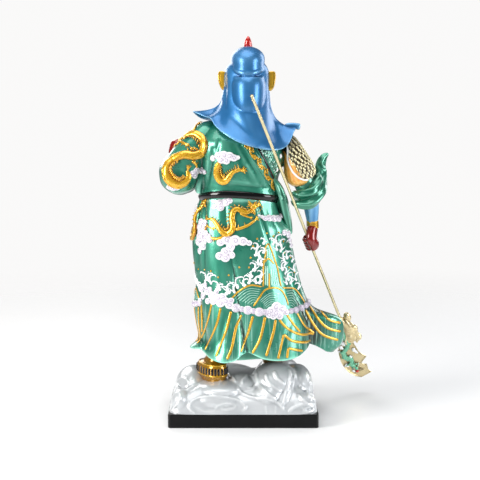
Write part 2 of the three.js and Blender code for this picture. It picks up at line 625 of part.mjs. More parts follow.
function glaiveBlade() {
  const plate = new THREE.ExtrudeGeometry(bladeOutline, {
    depth: BLADE.thickness * 0.4, bevelThickness: BLADE.thickness * 0.3, bevelSize: 0.9, bevelOffset: -0.9,
    bevelSegments: 1, curveSegments: 5,
  }).translate(0, 0, -BLADE.thickness * 0.2);
  const r = SHAFT.diameter / 2;
  const head = [
    bar([at(0, 0, 0), at(7, 1, 0), at(16, 5, 0), at(26, 6, 0), at(36, 4, 0), at(44, 0, 0)],
      (t) => [through([[0, r + 1.6], [0.2, r + 2.4], [0.45, 8], [0.7, 8.5], [1, 6]])(t),
        through([[0, r + 1.6], [0.2, r + 2.4], [0.5, 6], [1, 3.4]])(t)],
          { steps: 7, sides: 10, facing: at(0, 0, 1) }),
    ball(at(3, 9.5, 0), [8, 5, 4.4], 10, 6),
    ball(at(25, 13, 0), [6, 4.5, 4], 8, 6),
    ball(at(40, 13.5, 0), [6.5, 5, 4], 8, 6),
    lock([at(8, 8, 0), at(22, 10, 0), at(36, 12, 0), at(50, 9, 0)], 5, 4,
      { steps: 6, sides: 6, facing: at(0, 0, 1) }),
  ];
  const body = [1, -1].map((face) => lock(
    [[36, -2], [46, -8], [56, -5], [64, -9], [74, -7], [84, -8], [92, -4], [98, -6]]
      .map(([x, y]) => at(x, y, face * 1.4)),
    3.2, 2, { steps: 12, sides: 5, facing: at(0, 0, 1) }));
  const socket = new THREE.CylinderGeometry(r + FIT_GAP, r + FIT_GAP, 2 * BLADE.socketDepth, 16)
    .rotateZ(Math.PI / 2);
  return geometryOf(join([plate, ...head, ...body]).subtract(solid(socket)));
}

const glaiveShaft = () => new THREE.CylinderGeometry(
  SHAFT.diameter / 2, SHAFT.diameter / 2, SHAFT.above + SHAFT.below + BLADE.socketDepth - FIT_GAP, 16,
).rotateZ(Math.PI / 2).translate((SHAFT.below + BLADE.socketDepth - FIT_GAP - SHAFT.above) / 2, 0, 0);

// Materials
const paint = (color, roughness, metalness) =>
  new THREE.MeshStandardMaterial({ color, roughness, metalness });
const robeGreen = paint(0x2f9a7d, 0.25, 0.3);
const cloudSilver = paint(0xd2d5d8, 0.3, 0.6);
const plinthBlack = paint(0x0c0c0e, 0.25, 0);
const paleGold = paint(0xc9b98a, 0.35, 0.8);

function named(name, geometry, material) {
  const mesh = new THREE.Mesh(geometry, material);
  mesh.name = name;
  return mesh;
}

// Assembly
const statue = new THREE.Group();
statue.add(named('plinth', plinth(), plinthBlack));

const base = named('cloud_base', cloudBase(), cloudSilver);
base.position.z = PLINTH.height;
statue.add(base);

const carving = new THREE.Group();
carving.scale.setScalar(figureScale);
carving.position.set(CARVED.shift, 0, soleLevel - CARVED.sole * figureScale);
carving.add(named('figure', figure(), robeGreen));
statue.add(carving);

// The glaive's frame: X along the shaft towards the blade, Z towards the back.
const glaive = new THREE.Group();
const flat = at(0, 1, 0).addScaledVector(grip.axis, -grip.axis.y).normalize();
const sideways = flat.clone().cross(grip.axis);
glaive.quaternion.setFromRotationMatrix(new THREE.Matrix4().makeBasis(grip.axis, sideways, flat));
glaive.position.copy(grip.centre).multiplyScalar(figureScale).add(carving.position);
glaive.add(named('glaive_shaft', glaiveShaft(), paleGold));
const blade = named('glaive_blade', glaiveBlade(), paleGold);
blade.position.x = SHAFT.below;
glaive.add(blade);
statue.add(glaive);

export default statue;
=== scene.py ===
import math
import random

import bmesh
import bpy
import numpy as np
from mathutils import Matrix, Vector, noise
from mathutils.bvhtree import BVHTree


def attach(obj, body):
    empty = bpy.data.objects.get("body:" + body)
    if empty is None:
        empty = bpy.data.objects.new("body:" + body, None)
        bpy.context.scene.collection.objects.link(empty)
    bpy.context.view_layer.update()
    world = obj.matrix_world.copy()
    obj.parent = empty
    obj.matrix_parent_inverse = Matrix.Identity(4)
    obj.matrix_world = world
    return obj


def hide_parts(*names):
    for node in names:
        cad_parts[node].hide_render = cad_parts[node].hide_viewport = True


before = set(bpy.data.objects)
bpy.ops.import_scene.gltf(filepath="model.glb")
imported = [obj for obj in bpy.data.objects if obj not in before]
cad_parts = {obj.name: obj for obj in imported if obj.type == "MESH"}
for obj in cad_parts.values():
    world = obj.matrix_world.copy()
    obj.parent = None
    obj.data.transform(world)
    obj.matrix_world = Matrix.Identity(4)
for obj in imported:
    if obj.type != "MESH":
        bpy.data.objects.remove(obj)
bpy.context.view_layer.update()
scene = bpy.context.scene
scene.view_settings.view_transform = "Standard"
print("frame loaded")

# The statue faces -Y and the camera stands behind it, at +Y, so picture right is -X.
# Everything is modelled in millimetres on the figure's own axis, and finishPiece turns it into metres.
pi = math.pi
metre = 0.001


# objects and shader nodes
def addObject(name, data):
    thing = bpy.data.objects.new(name, data)
    scene.collection.objects.link(thing)
    return thing


def feed(tree, node, inputs):
    # links each input whose value is another node's output, and sets the others
    for name, value in inputs.items():
        if isinstance(value, bpy.types.NodeSocket):
            tree.links.new(value, node.inputs[name])
        else:
            node.inputs[name].default_value = value
    return node


def addNode(tree, kind, inputs, **settings):
    node = tree.nodes.new("ShaderNode" + kind)
    for name, value in settings.items():
        setattr(node, name, value)
    return feed(tree, node, inputs)


def mapRange(tree, source, low, high, start=0.0, end=1.0):
    inputs = {"Value": source, "From Min": low, "From Max": high, "To Min": start, "To Max": end}
    return addNode(tree, "MapRange", inputs, interpolation_type="SMOOTHSTEP").outputs["Result"]


def mathOf(tree, operation, *values):
    return addNode(tree, "Math", dict(enumerate(values)), operation=operation).outputs[0]


def objectPlace(tree):
    return addNode(tree, "TexCoord", {}).outputs["Object"]


# camera, floor and light
cameraSet = {"distance": 1.6, "elevation": 7.0, "target": (0.00409, 0.0, 0.2244), "sensor": 36,
             "focalPixels": 1262.48, "picturePixels": 480}


def addCamera():
    data = bpy.data.cameras.new("camera")
    data.sensor_width = cameraSet["sensor"]
    data.lens = cameraSet["sensor"] * cameraSet["focalPixels"] / cameraSet["picturePixels"]
    camera = addObject("camera", data)
    tilt = math.radians(cameraSet["elevation"])
    back = Vector((0, math.cos(tilt), math.sin(tilt)))
    camera.location = Vector(cameraSet["target"]) + back * cameraSet["distance"]
    camera.rotation_euler = (-back).to_track_quat("-Z", "Y").to_euler()
    scene.camera = camera


lightSet = {
    "windows": [  # place, width and height, power, colour, whether it shows in reflections
        ((1.25, 0.75, 0.62), (0.6, 0.8), 22, (1.0, 0.985, 0.96), True),
        ((-1.35, 0.55, 0.45), (0.6, 0.8), 14, (0.96, 0.98, 1.0), True),
        ((0.1, 1.7, 0.9), (1.6, 1.2), 7, (1.0, 1.0, 1.0), False),
        ((0.1, 0.15, 1.5), (1.2, 1.2), 14, (1.0, 1.0, 1.0), True),
        ((0.55, -1.3, 0.8), (0.7, 0.9), 7, (1.0, 0.99, 0.97), True),
        ((-0.9, -0.9, 0.6), (0.5, 0.9), 5, (0.97, 0.98, 1.0), True),
    ],
    "aim": (0, 0, 0.24),
    "backdrop": (0.955, 0.95, 0.945),
    "room": (0.16, 0.165, 0.17),
    "floor": (0.93, 0.93, 0.935),
    "floorRoughness": 0.32,
    "floorReach": 3.0,
    "floorFade": (0.25, 1.4),
}


def addLights():
    for place, size, watts, colour, shows in lightSet["windows"]:
        data = bpy.data.lights.new("window", "AREA")
        data.shape = "RECTANGLE"
        data.size, data.size_y = size
        data.energy, data.color = watts, colour
        lamp = addObject("window", data)
        lamp.location = place
        lamp.visible_glossy = shows
        aim = Vector(lightSet["aim"]) - Vector(place)
        lamp.rotation_euler = aim.to_track_quat("-Z", "Y").to_euler()
    world = bpy.data.worlds.new("studio")
    world.use_nodes = True
    tree = world.node_tree
    tree.nodes.clear()
    room, seen = (addNode(tree, "Background", {"Color": (*lightSet[key], 1)}) for key in ("room", "backdrop"))
    straight = addNode(tree, "LightPath", {}).outputs["Is Camera Ray"]
    sides = {"Fac": straight, 1: room.outputs["Background"], 2: seen.outputs["Background"]}
    addNode(tree, "OutputWorld", {"Surface": addNode(tree, "MixShader", sides).outputs["Shader"]})
    scene.world = world


def addFloor():
    mesh = bmesh.new()
    bmesh.ops.create_circle(mesh, cap_ends=True, segments=96, radius=lightSet["floorReach"])
    data = bpy.data.meshes.new("floor")
    mesh.to_mesh(data)
    mesh.free()
    floor = addObject("floor", data)
    look = bpy.data.materials.new("paleFloor")
    look.use_nodes = True
    tree = look.node_tree
    reach = addNode(tree, "VectorMath", {0: objectPlace(tree)}, operation="LENGTH").outputs["Value"]
    feed(tree, tree.nodes["Principled BSDF"], {
        "Base Color": (*lightSet["floor"], 1), "Roughness": lightSet["floorRoughness"],
        "Alpha": mapRange(tree, reach, *lightSet["floorFade"], 1.0, 0.0)})
    data.materials.append(look)


addCamera()
addLights()
addFloor()
print("camera, light and floor ready")


# numbers and paths
def blend(a, b, share):
    return a + (b - a) * share


def clamp(value, low=0.0, high=1.0):
    return min(max(value, low), high)


def ease(low, high, value):
    s = clamp((value - low) / (high - low))
    return s * s * (3 - 2 * s)


def through(rows):
    # a smooth value through (place, value) rows, level beyond both ends
    slopes = []
    for i in range(len(rows)):
        before, after = rows[max(i - 1, 0)], rows[min(i + 1, len(rows) - 1)]
        slopes.append((after[1] - before[1]) / (after[0] - before[0]))

    def value(place):
        x = clamp(place, rows[0][0], rows[-1][0])
        i = 0
        while i < len(rows) - 2 and x > rows[i + 1][0]:
            i += 1
        span = rows[i + 1][0] - rows[i][0]
        s = (x - rows[i][0]) / span
        bend = slopes[i] * span * s * (1 - s) ** 2 - slopes[i + 1] * span * s * s * (1 - s)
        return rows[i][1] + (rows[i + 1][1] - rows[i][1]) * s * s * (3 - 2 * s) + bend

    return value


def columns(rows):
    # smooth values through all columns of a table, asked for by row number, which may lie between two rows
    tables = [through([(i, row[k]) for i, row in enumerate(rows)]) for k in range(len(rows[0]))]
    return lambda number: [table(number) for table in tables]


def compass(turn):
    # 0 points to his back, 90 to his right hand, 180 to the front
    return -math.sin(math.radians(turn)), math.cos(math.radians(turn))


def power(value, exponent):
    return math.copysign(abs(value) ** exponent, value)


def oval(turn, level, x=0.0, y=0.0, left=1.0, right=1.0, back=1.0, front=1.0, square=1.0):
    dx, dy = (power(c, square) for c in compass(turn))
    return Vector((x + dx * (left if dx > 0 else right), y + dy * (back if dy > 0 else front), level))


def ovalOf(shape, turn, level, proud=0.0, **more):
    # the oval whose four half widths at a level are tables of a dictionary
    sides = {side: shape[side](level) + proud for side in ("left", "right", "back", "front")}
    return oval(turn, level, **sides, **more)


def drawIn(spot, cut):
    reach = math.hypot(spot.x, spot.y)
    spot.x *= 1 - cut / reach
    spot.y *= 1 - cut / reach


def smoothPath(points, steps):
    points = [Vector(p) for p in points]
    ends = [2 * points[0] - points[1]] + points + [2 * points[-1] - points[-2]]
    path = []
    for i in range(steps + 1):
        t = i / steps * (len(points) - 1)
        k = min(int(t), len(points) - 2)
        s = t - k
        a, b, c, d = ends[k:k + 4]
        path.append(0.5 * (2 * b + (c - a) * s + (2 * a - 5 * b + 4 * c - d) * s * s
                           + (3 * b - a - 3 * c + d) * s ** 3))
    return path


def wayAt(path, i):
    # the way a path runs at its point i
    return (path[min(i + 1, len(path) - 1)] - path[max(i - 1, 0)]).normalized()


def roundEnds(t, reach):
    # 1 along a rod and down to nothing at its two ends, each over this share of its length
    a = 1 - clamp(t / reach)
    b = 1 - clamp((1 - t) / reach)
    return math.sqrt(max(0.0, 1 - a * a)) * math.sqrt(max(0.0, 1 - b * b))


# building meshes
def newMesh():
    mesh = bmesh.new()
    mesh.loops.layers.uv.new("UVMap")
    # crest is the mark that the paints turn into painted shade in hollows and painted highlight on edges and
    # tops
    mesh.verts.layers.float.new("crest")
    return mesh


def addPart(mesh, part):
    # parts are built on their own and joined on, as operators slow down on a mesh that has grown
    data = bpy.data.meshes.new("part")
    part.to_mesh(data)
    part.free()
    mesh.from_mesh(data)
    bpy.data.meshes.remove(data)


def shell(mesh, across, down, place, mark=None, uvSize=(1, 1)):
    # a grid wrapped into a closed skin: place(u, v) gives a point, and rows that meet in one become a pole
    part = newMesh()
    crest, uv = part.verts.layers.float["crest"], part.loops.layers.uv["UVMap"]
    bmesh.ops.create_grid(part, x_segments=across, y_segments=down, size=0.5, calc_uvs=True)
    for vert in part.verts:
        u, v = vert.co.x + 0.5, vert.co.y + 0.5
        vert[crest] = mark(u) if mark else 0.5
        vert.co = place(u, v)
    if uvSize != (1, 1):
        for face in part.faces:
            for loop in face.loops:
                loop[uv].uv = (loop[uv].uv.x * uvSize[0], loop[uv].uv.y * uvSize[1])
    bmesh.ops.remove_doubles(part, verts=part.verts, dist=1e-4)
    addPart(mesh, part)


def cappedShell(mesh, across, rows, place):
    # a skin of rings place(turn, share), closed by a pole in the middle of the first ring and of the last
    def spot(u, v):
        row, turn = round(v * rows), 360 * u - 180
        if 0 < row < rows:
            return place(turn, (row - 1) / (rows - 2))
        ring = [place(90 * k - 180, 0.0 if row == 0 else 1.0) for k in range(4)]
        return sum(ring, Vector()) / 4

    shell(mesh, across, rows, spot)


def rod(mesh, path, size, sides=8, facing=(0, 1, 0), outs=None, ends=0.0, section=1.0, flutes=None,
        tone=None):
    # a bar along a path: size is half its width and half its height, or gives both at a share of its length;
    # facing is the way its top points, outs the same at each point; flutes are the number of its grooves,
    # their depth and how often they wind round it
    steps = len(path) - 1
    sizeAt = size if callable(size) else lambda t: size
    frames = []
    for i, centre in enumerate(path):
        along = wayAt(path, i)
        across = along.cross(outs[i] if outs else Vector(facing)).normalized()
        frames.append((centre, across, across.cross(along)))
    length = sum((b - a).length for a, b in zip(path, path[1:]))

    def place(u, v):
        i = round(v * steps)
        centre, across, out = frames[i]
        width, height = sizeAt(i / steps)
        full = roundEnds(i / steps, ends) if ends else (1 if 0 < i < steps else 0)
        if flutes:
            full *= 1 - flutes[1] * (0.5 + 0.5 * math.cos(flutes[0] * 2 * pi * (u + flutes[2] * i / steps)))
        return centre + (across * power(math.cos(2 * pi * u), section) * width
                         + out * power(math.sin(2 * pi * u), section) * height) * full

    # the crest mark paints highlight along the bar's top and shade along its underside, unless tone gives one
    # even value
    def mark(u):
        return 0.5 + 0.5 * math.sin(2 * pi * u) if tone is None else tone

    shell(mesh, sides, steps, place, mark, (8, length / 4))
    return frames


def bar(mesh, places, steps, size, **more):
    return rod(mesh, smoothPath(places, steps), size, **more)


def lock(mesh, places, width, depth, steps=40, sides=20, facing=(0, 1, 0), flutes=None):
    # a bar that narrows to a rounded tip at both ends
    def size(t):
        full = max(math.sin(pi * clamp(t, 0.02, 0.98)), 0.06) ** 0.55
        return width * full, depth * full

    return bar(mesh, places, steps, size, sides=sides, facing=facing, flutes=flutes)


def ball(mesh, centre, radii, out=None, grid=(14, 8), tone=None, head=(0, 0, 1)):
    # an egg; with out given it lies flat on a surface that faces that way, its second radius towards head
    part = newMesh()
    crest = part.verts.layers.float["crest"]
    bmesh.ops.create_uvsphere(part, u_segments=grid[0], v_segments=grid[1], radius=1, calc_uvs=True)
    # the crest mark paints highlight on the egg's top, its outward face when out is given, and shade on its
    # underside, unless tone gives one even value
    for vert in part.verts:
        vert[crest] = tone if tone is not None else 0.5 + 0.5 * vert.co.z
    basis = Matrix.Identity(4)
    if out is not None:
        side = Vector(head).cross(out).normalized()
        basis = Matrix((side, out.cross(side), out)).transposed().to_4x4()
    matrix = Matrix.Translation(centre) @ basis @ Matrix.Diagonal((*radii, 1))
    bmesh.ops.transform(part, verts=part.verts, matrix=matrix)
    addPart(mesh, part)


def castTogether(mesh, grain, smoothing=2):
    # runs overlapping parts into one skin, as a casting has
    data = bpy.data.meshes.new("casting")
    bmesh.ops.recalc_face_normals(mesh, faces=mesh.faces)
    mesh.to_mesh(data)
    mesh.free()
    body = addObject("casting", data)
    remesh = body.modifiers.new("Remesh", "REMESH")
    remesh.mode = "VOXEL"
    remesh.voxel_size = grain
    smooth = body.modifiers.new("Smooth", "SMOOTH")
    smooth.iterations = smoothing
    whole = newMesh()
    whole.from_mesh(body.evaluated_get(bpy.context.evaluated_depsgraph_get()).to_mesh())
    bpy.data.objects.remove(body)
    bpy.data.meshes.remove(data)
    return whole


def markCrests(data, reach, gain):
    # crest is 0 in a hollow, 0.5 on flat ground and 1 on an edge, measured against the smoothed surface; the
    # paints turn it into painted shade in the hollows and painted highlight on the edges
    count = len(data.vertices)
    spots, ways = np.empty(count * 3), np.empty(count * 3)
    data.vertices.foreach_get("co", spots)
    data.vertex_normals.foreach_get("vector", ways)
    spots, ways = spots.reshape(-1, 3) * 1000, ways.reshape(-1, 3)
    pairs = np.empty(len(data.edges) * 2, dtype=np.int32)
    data.edges.foreach_get("vertices", pairs)
    a, b = pairs.reshape(-1, 2).T
    shared = np.maximum(np.bincount(a, minlength=count) + np.bincount(b, minlength=count), 1)[:, None]
    smooth = spots.copy()
    for _ in range(reach):
        sums = [np.bincount(a, smooth[b, k], count) + np.bincount(b, smooth[a, k], count) for k in range(3)]
        smooth = 0.4 * smooth + 0.6 * np.stack(sums, 1) / shared
    values = np.clip(0.5 + gain * ((spots - smooth) * ways).sum(1), 0, 1).astype(np.float32)
    layer = data.attributes.get("crest") or data.attributes.new("crest", "FLOAT", "POINT")
    layer.data.foreach_set("value", values)


def finishPiece(name, mesh, look, node="figure", slot="robe_green", shift=2.0, crests=None, flatOver=None,
                shade=None):
    # crests are the reach and gain of markCrests, which sets the painted shade and highlight, and shade adds
    # to the crest at a place in metres, moving that place's painted shade and highlight
    bmesh.ops.recalc_face_normals(mesh, faces=mesh.faces)
    toMetres = Matrix.Scale(metre, 4) @ Matrix.Translation((shift, 0, 0))
    bmesh.ops.transform(mesh, matrix=toMetres, verts=mesh.verts)
    data = bpy.data.meshes.new(name)
    mesh.to_mesh(data)
    mesh.free()
    smooth = [flatOver is None or face.area < flatOver for face in data.polygons]
    data.polygons.foreach_set("use_smooth", smooth)
    if crests:
        markCrests(data, *crests)
    if shade:
        for vert, mark in zip(data.vertices, data.attributes["crest"].data):
            mark.value = clamp(mark.value + shade(vert.co))
    data.materials.append(looks[look])
    piece = addObject(name, data)
    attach(piece, "root")
    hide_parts(node)
    print(f"{name}: {len(data.polygons)} faces")


# laying lines and shapes on the carving; a view is "back" or "front", with places (x, z),
# or "round", with places (turn, z)
castSet = {"start": 260, "tries": 40, "nearer": 0.012, "miss": 200}


def castOnto(trees, a, z, view):
    # where a place lies on the carving and the way the surface faces there
    for step in range(castSet["tries"]):
        if view == "round":
            dx, dy = compass(a)
            start, ray = Vector((dx * castSet["start"], dy * castSet["start"], z)), Vector((-dx, -dy, 0))
        else:
            side = 1 if view == "back" else -1
            start = Vector((a * (1 - step * castSet["nearer"]), castSet["start"] * side, z))
            ray = Vector((0, -side, 0))
        hits = [hit for hit in (tree.ray_cast(start, ray) for tree in trees) if hit[0] is not None]
        if hits:
            spot, out = min(hits, key=lambda hit: hit[3])[:2]
            return spot, out if out.dot(ray) < 0 else -out
    return start + ray * castSet["miss"], -ray


def perMillimetre(view, radius=58):
    # what one millimetre sideways is in the units of a view's places
    return math.degrees(1 / radius) if view == "round" else 1


def lay(trees, places, view, steps, lift=0.0, calm=3):
    # a path of points on the carving and the way the surface faces at each
    found = [castOnto(trees, a, z, view) for a, z in smoothPath(places, steps)]
    spots, outs = [f[0] for f in found], [f[1] for f in found]
    for _ in range(calm):
        wide = [outs[0]] + outs + [outs[-1]]
        outs = [(wide[i] + wide[i + 1] * 2 + wide[i + 2]).normalized() for i in range(steps + 1)]
    for _ in range(calm // 2):
        calmed = [(spots[i - 1] + spots[i] * 2 + spots[i + 1]) / 4 for i in range(1, steps)]
        spots = [spots[0]] + calmed + [spots[-1]]
    return [spot + out * lift for spot, out in zip(spots, outs)], outs


def inlay(mesh, trees, places, view, size, steps=24, lift=0.0, sides=8, ends=0.08):
    # a raised line that follows the carving; its size is that of a rod, or just half its width
    spots, outs = lay(trees, places, view, steps, lift)
    if isinstance(size, (int, float)):
        size = (size, size * 0.75)
    return rod(mesh, spots, size, sides=sides, outs=outs, ends=ends)


def spiral(a, z, radius, start, hand, turns=1.3, inner=0.2, points=12):
    # places that wind in towards (a, z), its angles in degrees
    places = []
    for k in range(points):
        t = k / (points - 1)
        angle, reach = math.radians(start + hand * 360 * turns * t), radius * blend(1, inner, t)
        places.append((a + math.cos(angle) * reach, z + math.sin(angle) * reach))
    return places


def insideShape(x, z, corners):
    inside = False
    for (x0, z0), (x1, z1) in zip(corners, corners[1:] + corners[:1]):
        if (z0 > z) != (z1 > z) and x < x0 + (z - z0) * (x1 - x0) / (z1 - z0):
            inside = not inside
    return inside


def creaseDepth(creases, x, z):
    # each crease is x, z, x, z, half width and depth (negative stands proud), and fades towards its ends
    depth = 0.0
    for x0, z0, x1, z1, width, cut in creases:
        dx, dz, reach = x1 - x0, z1 - z0, 3 * width
        if not min(x0, x1) - reach < x < max(x0, x1) + reach:
            continue
        if not min(z0, z1) - reach < z < max(z0, z1) + reach:
            continue
        s = clamp(((x - x0) * dx + (z - z0) * dz) / (dx * dx + dz * dz))
        away = math.hypot(x - x0 - dx * s, z - z0 - dz * s) / width
        depth += cut * math.exp(-away * away) * (0.35 + 0.65 * math.sin(pi * clamp(s, 0.06, 0.94)))
    return depth


# paints
def nodeGroup(name, inputs, outputs):
    group = bpy.data.node_groups.new(name, "ShaderNodeTree")
    for label, value in inputs.items():
        kind = "NodeSocketColor" if isinstance(value, tuple) else "NodeSocketFloat"
        group.interface.new_socket(label, in_out="INPUT", socket_type=kind).default_value = value
    for label, kind in outputs.items():
        group.interface.new_socket(label, in_out="OUTPUT", socket_type=kind)
    return group, group.nodes.new("NodeGroupInput").outputs, group.nodes.new("NodeGroupOutput")


def mixColour(tree, share, a, b):
    # the inputs of a colour mix are its first, seventh and eighth
    return addNode(tree, "Mix", {0: share, 6: a, 7: b}, data_type="RGBA").outputs[2]


def noiseAt(tree, vector, scale, detail=2.0, rough=0.5):
    inputs = {"Scale": scale, "Detail": detail, "Roughness": rough, "Vector": vector}
    return addNode(tree, "TexNoise", inputs).outputs["Fac"]


def makePaintedShadeAndCoatTone():
    # painted shade in the hollows and painted highlight on the edges, chosen by the crest mark, with the soft
    # unevenness of a hand-laid coat
    group, given, out = nodeGroup(
        "paintedShadeAndCoatTone", {"Hollow": (0, 0, 0, 1), "Body": (0.5, 0.5, 0.5, 1), "Edge": (1, 1, 1, 1),
                       "Crest": 0.5, "Unevenness": 0.3},
        {"Color": "NodeSocketColor"})
    hollow = mixColour(group, mapRange(group, given["Crest"], 0.0, 0.5), given["Hollow"], given["Body"])
    edge = mixColour(group, mapRange(group, given["Crest"], 0.5, 1.0), hollow, given["Edge"])
    broad = mapRange(group, noiseAt(group, objectPlace(group), 26, 3), 0.3, 0.7)
    share = mathOf(group, "MULTIPLY", broad, given["Unevenness"])
    feed(group, out, {"Color": mixColour(group, share, edge, given["Edge"])})
    return group


def makeCoatGrain():
    # the fine flake and orange peel of sprayed enamel: a height for Bump and a varying roughness
    group, given, out = nodeGroup("coatGrain", {"Peel": 0.5, "Low": 0.2, "High": 0.35},
                                  {"Height": "NodeSocketFloat", "Roughness": "NodeSocketFloat"})
    place = objectPlace(group)
    flake = mathOf(group, "MULTIPLY_ADD", noiseAt(group, place, 1900, 1), 0.35, 0.0)
    height = mathOf(group, "MULTIPLY_ADD", noiseAt(group, place, 420, 2), given["Peel"], flake)
    patches = noiseAt(group, place, 34, 4, 0.6)
    wear = addNode(group, "MapRange", {"Value": patches, "From Min": 0.35, "From Max": 0.65,
                                       "To Min": given["Low"], "To Max": given["High"]})
    feed(group, out, {"Height": height, "Roughness": wear.outputs["Result"]})
    return group


paintedShadeAndCoatTone, coatGrain = makePaintedShadeAndCoatTone(), makeCoatGrain()


def hexColour(text):
    # a picture colour such as 2a9c80 as the linear colour that shaders take
    parts = [int(text[i:i + 2], 16) / 255 for i in (0, 2, 4)]
    return (*[c / 12.92 if c <= 0.04045 else ((c + 0.055) / 1.055) ** 2.4 for c in parts], 1.0)


def brushedStreaks(tree, colour, height):
    # pale brush lines that run down the robe between the gold stripes, and faintly above
    split = addNode(tree, "SeparateXYZ", {"Vector": objectPlace(tree)})
    low = mapRange(tree, split.outputs["Z"], 0.185, 0.135)
    fit = addNode(tree, "Mapping", {"Scale": (560, 300, 14), "Vector": objectPlace(tree)})
    lines = mapRange(tree, noiseAt(tree, fit.outputs["Vector"], 1.0, 2), 0.52, 0.72)
    half = mapRange(tree, mathOf(tree, "MULTIPLY", low, lines), 0.0, 1.0, 0.0, 0.4)
    return mixColour(tree, half, colour, hexColour("b4ead6")), height


def dragonScales(tree, colour, height):
    # overlapping scales that follow each body's own unwrapping
    uv = addNode(tree, "TexCoord", {}).outputs["UV"]
    cells = addNode(tree, "TexVoronoi", {"Scale": 2.2, "Randomness": 0.35, "Vector": uv}).outputs["Distance"]
    dark = mapRange(tree, cells, 0.35, 0.7, 0.0, 0.55)
    lift = mathOf(tree, "MULTIPLY_ADD", mapRange(tree, cells, 0.25, 0.6), -2.2, height)
    return mixColour(tree, dark, colour, hexColour("a8560c")), lift


def brushedCloud(tree, colour, height):
    # faint lavender and rose swirls brushed into the white
    lines = mapRange(tree, noiseAt(tree, objectPlace(tree), 210, 3), 0.5, 0.6, 0.0, 0.5)
    return mixColour(tree, lines, colour, hexColour("d9cfdd")), height


def paint(name, hollow, body, edge, uneven, metallic, low, high, coat=0.8, coatRough=0.06, ior=1.5,
          extra=None):
    # a sprayed or brushed paint, its roughness from low to high; extra may lay a pattern over its colour
    look = bpy.data.materials.new(name)
    look.use_nodes = True
    tree = look.node_tree
    # the crest attribute mixes in painted shade from hollow and painted highlight from edge; edge also tints
    # the random unevenness
    crest = addNode(tree, "Attribute", {}, attribute_name="crest").outputs["Fac"]
    tone = addNode(tree, "Group", {}, node_tree=paintedShadeAndCoatTone)
    feed(tree, tone, {"Hollow": hexColour(hollow), "Body": hexColour(body), "Edge": hexColour(edge),
                      "Unevenness": uneven, "Crest": crest})
    grain = addNode(tree, "Group", {}, node_tree=coatGrain)
    feed(tree, grain, {"Peel": 0.5, "Low": low, "High": high})
    colour, height = tone.outputs["Color"], grain.outputs["Height"]
    if extra:
        colour, height = extra(tree, colour, height)
    relief = addNode(tree, "Bump", {"Strength": 0.06, "Distance": 0.0006, "Height": height})
    feed(tree, tree.nodes["Principled BSDF"], {
        "Metallic": metallic, "IOR": ior, "Coat Weight": coat, "Coat Roughness": coatRough,
        "Base Color": colour,
        "Roughness": grain.outputs["Roughness"], "Normal": relief.outputs["Normal"]})
    return look


# name, the colours of painted shade in hollows, of the body and of painted highlight on edges, unevenness,
# metallic, lowest and highest roughness
paintRows = {
    "robe": ("robePearl", "03221b", "1a7f66", "9aead0", 0.1, 0.5, 0.26, 0.37, 0.75, 0.08, 1.5,
             brushedStreaks),
    # a darker copy of the robe paint: painted shade for the under robe, sashes and rolled sleeve in folds and
    # gaps, and the collar bands' own deeper green
    "robeDeepGreenAndShade": ("robeDeepGreenAndShadePearl", "04261d", "187258", "86d8bb", 0.1, 0.5, 0.25, 0.36, 0.7, 0.1),
    "hood": ("hoodPearl", "08315f", "1f6ca6", "8cc8f0", 0.07, 0.5, 0.33, 0.43, 0.35, 0.18),
    "gold": ("dragonGold", "5e2802", "b97605", "f0bc2c", 0.25, 0.55, 0.2, 0.34, 0.8, 0.06, 1.5, dragonScales),
    "line": ("lineGold", "5a2c03", "a06c08", "dfac28", 0.2, 0.55, 0.22, 0.34),
    "cloud": ("cloudWhite", "9c8ea6", "e5e0e7", "fbf8fb", 0.15, 0.05, 0.3, 0.42, 0.8, 0.06, 1.5,
              brushedCloud),
    "cloudLine": ("cloudLineLilac", "85778f", "a092ac", "bcb0c6", 0.2, 0.1, 0.3, 0.45),
    "mint": ("mintLine", "2f9a7b", "7fd0b4", "c8f3e4", 0.2, 0.35, 0.24, 0.36),
    "foam": ("foamWhite", "90a6b2", "e2e5ea", "fafbfc", 0.1, 0.05, 0.26, 0.4),
    "black": ("beltBlack", "010101", "060607", "161618", 0.1, 0.0, 0.1, 0.2, 0.4, 0.03, 1.35),
    "hair": ("hairBlack", "020202", "101013", "46464e", 0.1, 0.15, 0.22, 0.34),
    "skin": ("skinRed", "200202", "7e0b08", "a82012", 0.15, 0.12, 0.16, 0.26, 0.7),
    "red": ("jewelRed", "4c0303", "a30f0d", "d8301f", 0.15, 0.25, 0.14, 0.22, 1.0),
    "lining": ("liningOrange", "b4540c", "f0992e", "ffc266", 0.3, 0.15, 0.3, 0.42),
    "scale": ("scaleGold", "191306", "b3a26b", "f8efc2", 0.25, 0.55, 0.22, 0.34),
    "recess": ("recessBlack", "050403", "14110b", "4a3d22", 0.2, 0.2, 0.3, 0.45),
    "mail": ("mailGreen", "04241c", "1d7a60", "c9f2e2", 0.3, 0.5, 0.2, 0.3),
    "silver": ("cloudSilver", "5c6267", "c0c4c7", "f3f4f5", 0.25, 0.35, 0.28, 0.44, 0.45),
    "plinth": ("plinthBlack", "020202", "070708", "1e1f21", 0.1, 0.0, 0.3, 0.42, 0.0, 0.06, 1.3),
    "pale": ("paleGold", "6b5a33", "d2bd8c", "f6ebc4", 0.3, 0.75, 0.22, 0.36, 0.4),
    "pole": ("poleGold", "5a4a28", "b09c6c", "e2d5a8", 0.25, 0.8, 0.22, 0.34, 0.4),
    "bladeGreen": ("bladeGreen", "03251c", "1c7a5e", "63cfa8", 0.2, 0.4, 0.2, 0.3, 0.8, 0.06, 1.5,
                   dragonScales),
    "white": ("eyeWhite", "c9c3ba", "f3f0ea", "ffffff", 0.1, 0.0, 0.2, 0.3),
    "trim": ("trimWhite", "b9b9bd", "f2f2f2", "ffffff", 0.1, 0.05, 0.25, 0.35),
}
looks = {key: paint(*row) for key, row in paintRows.items()}
print("paints mixed")

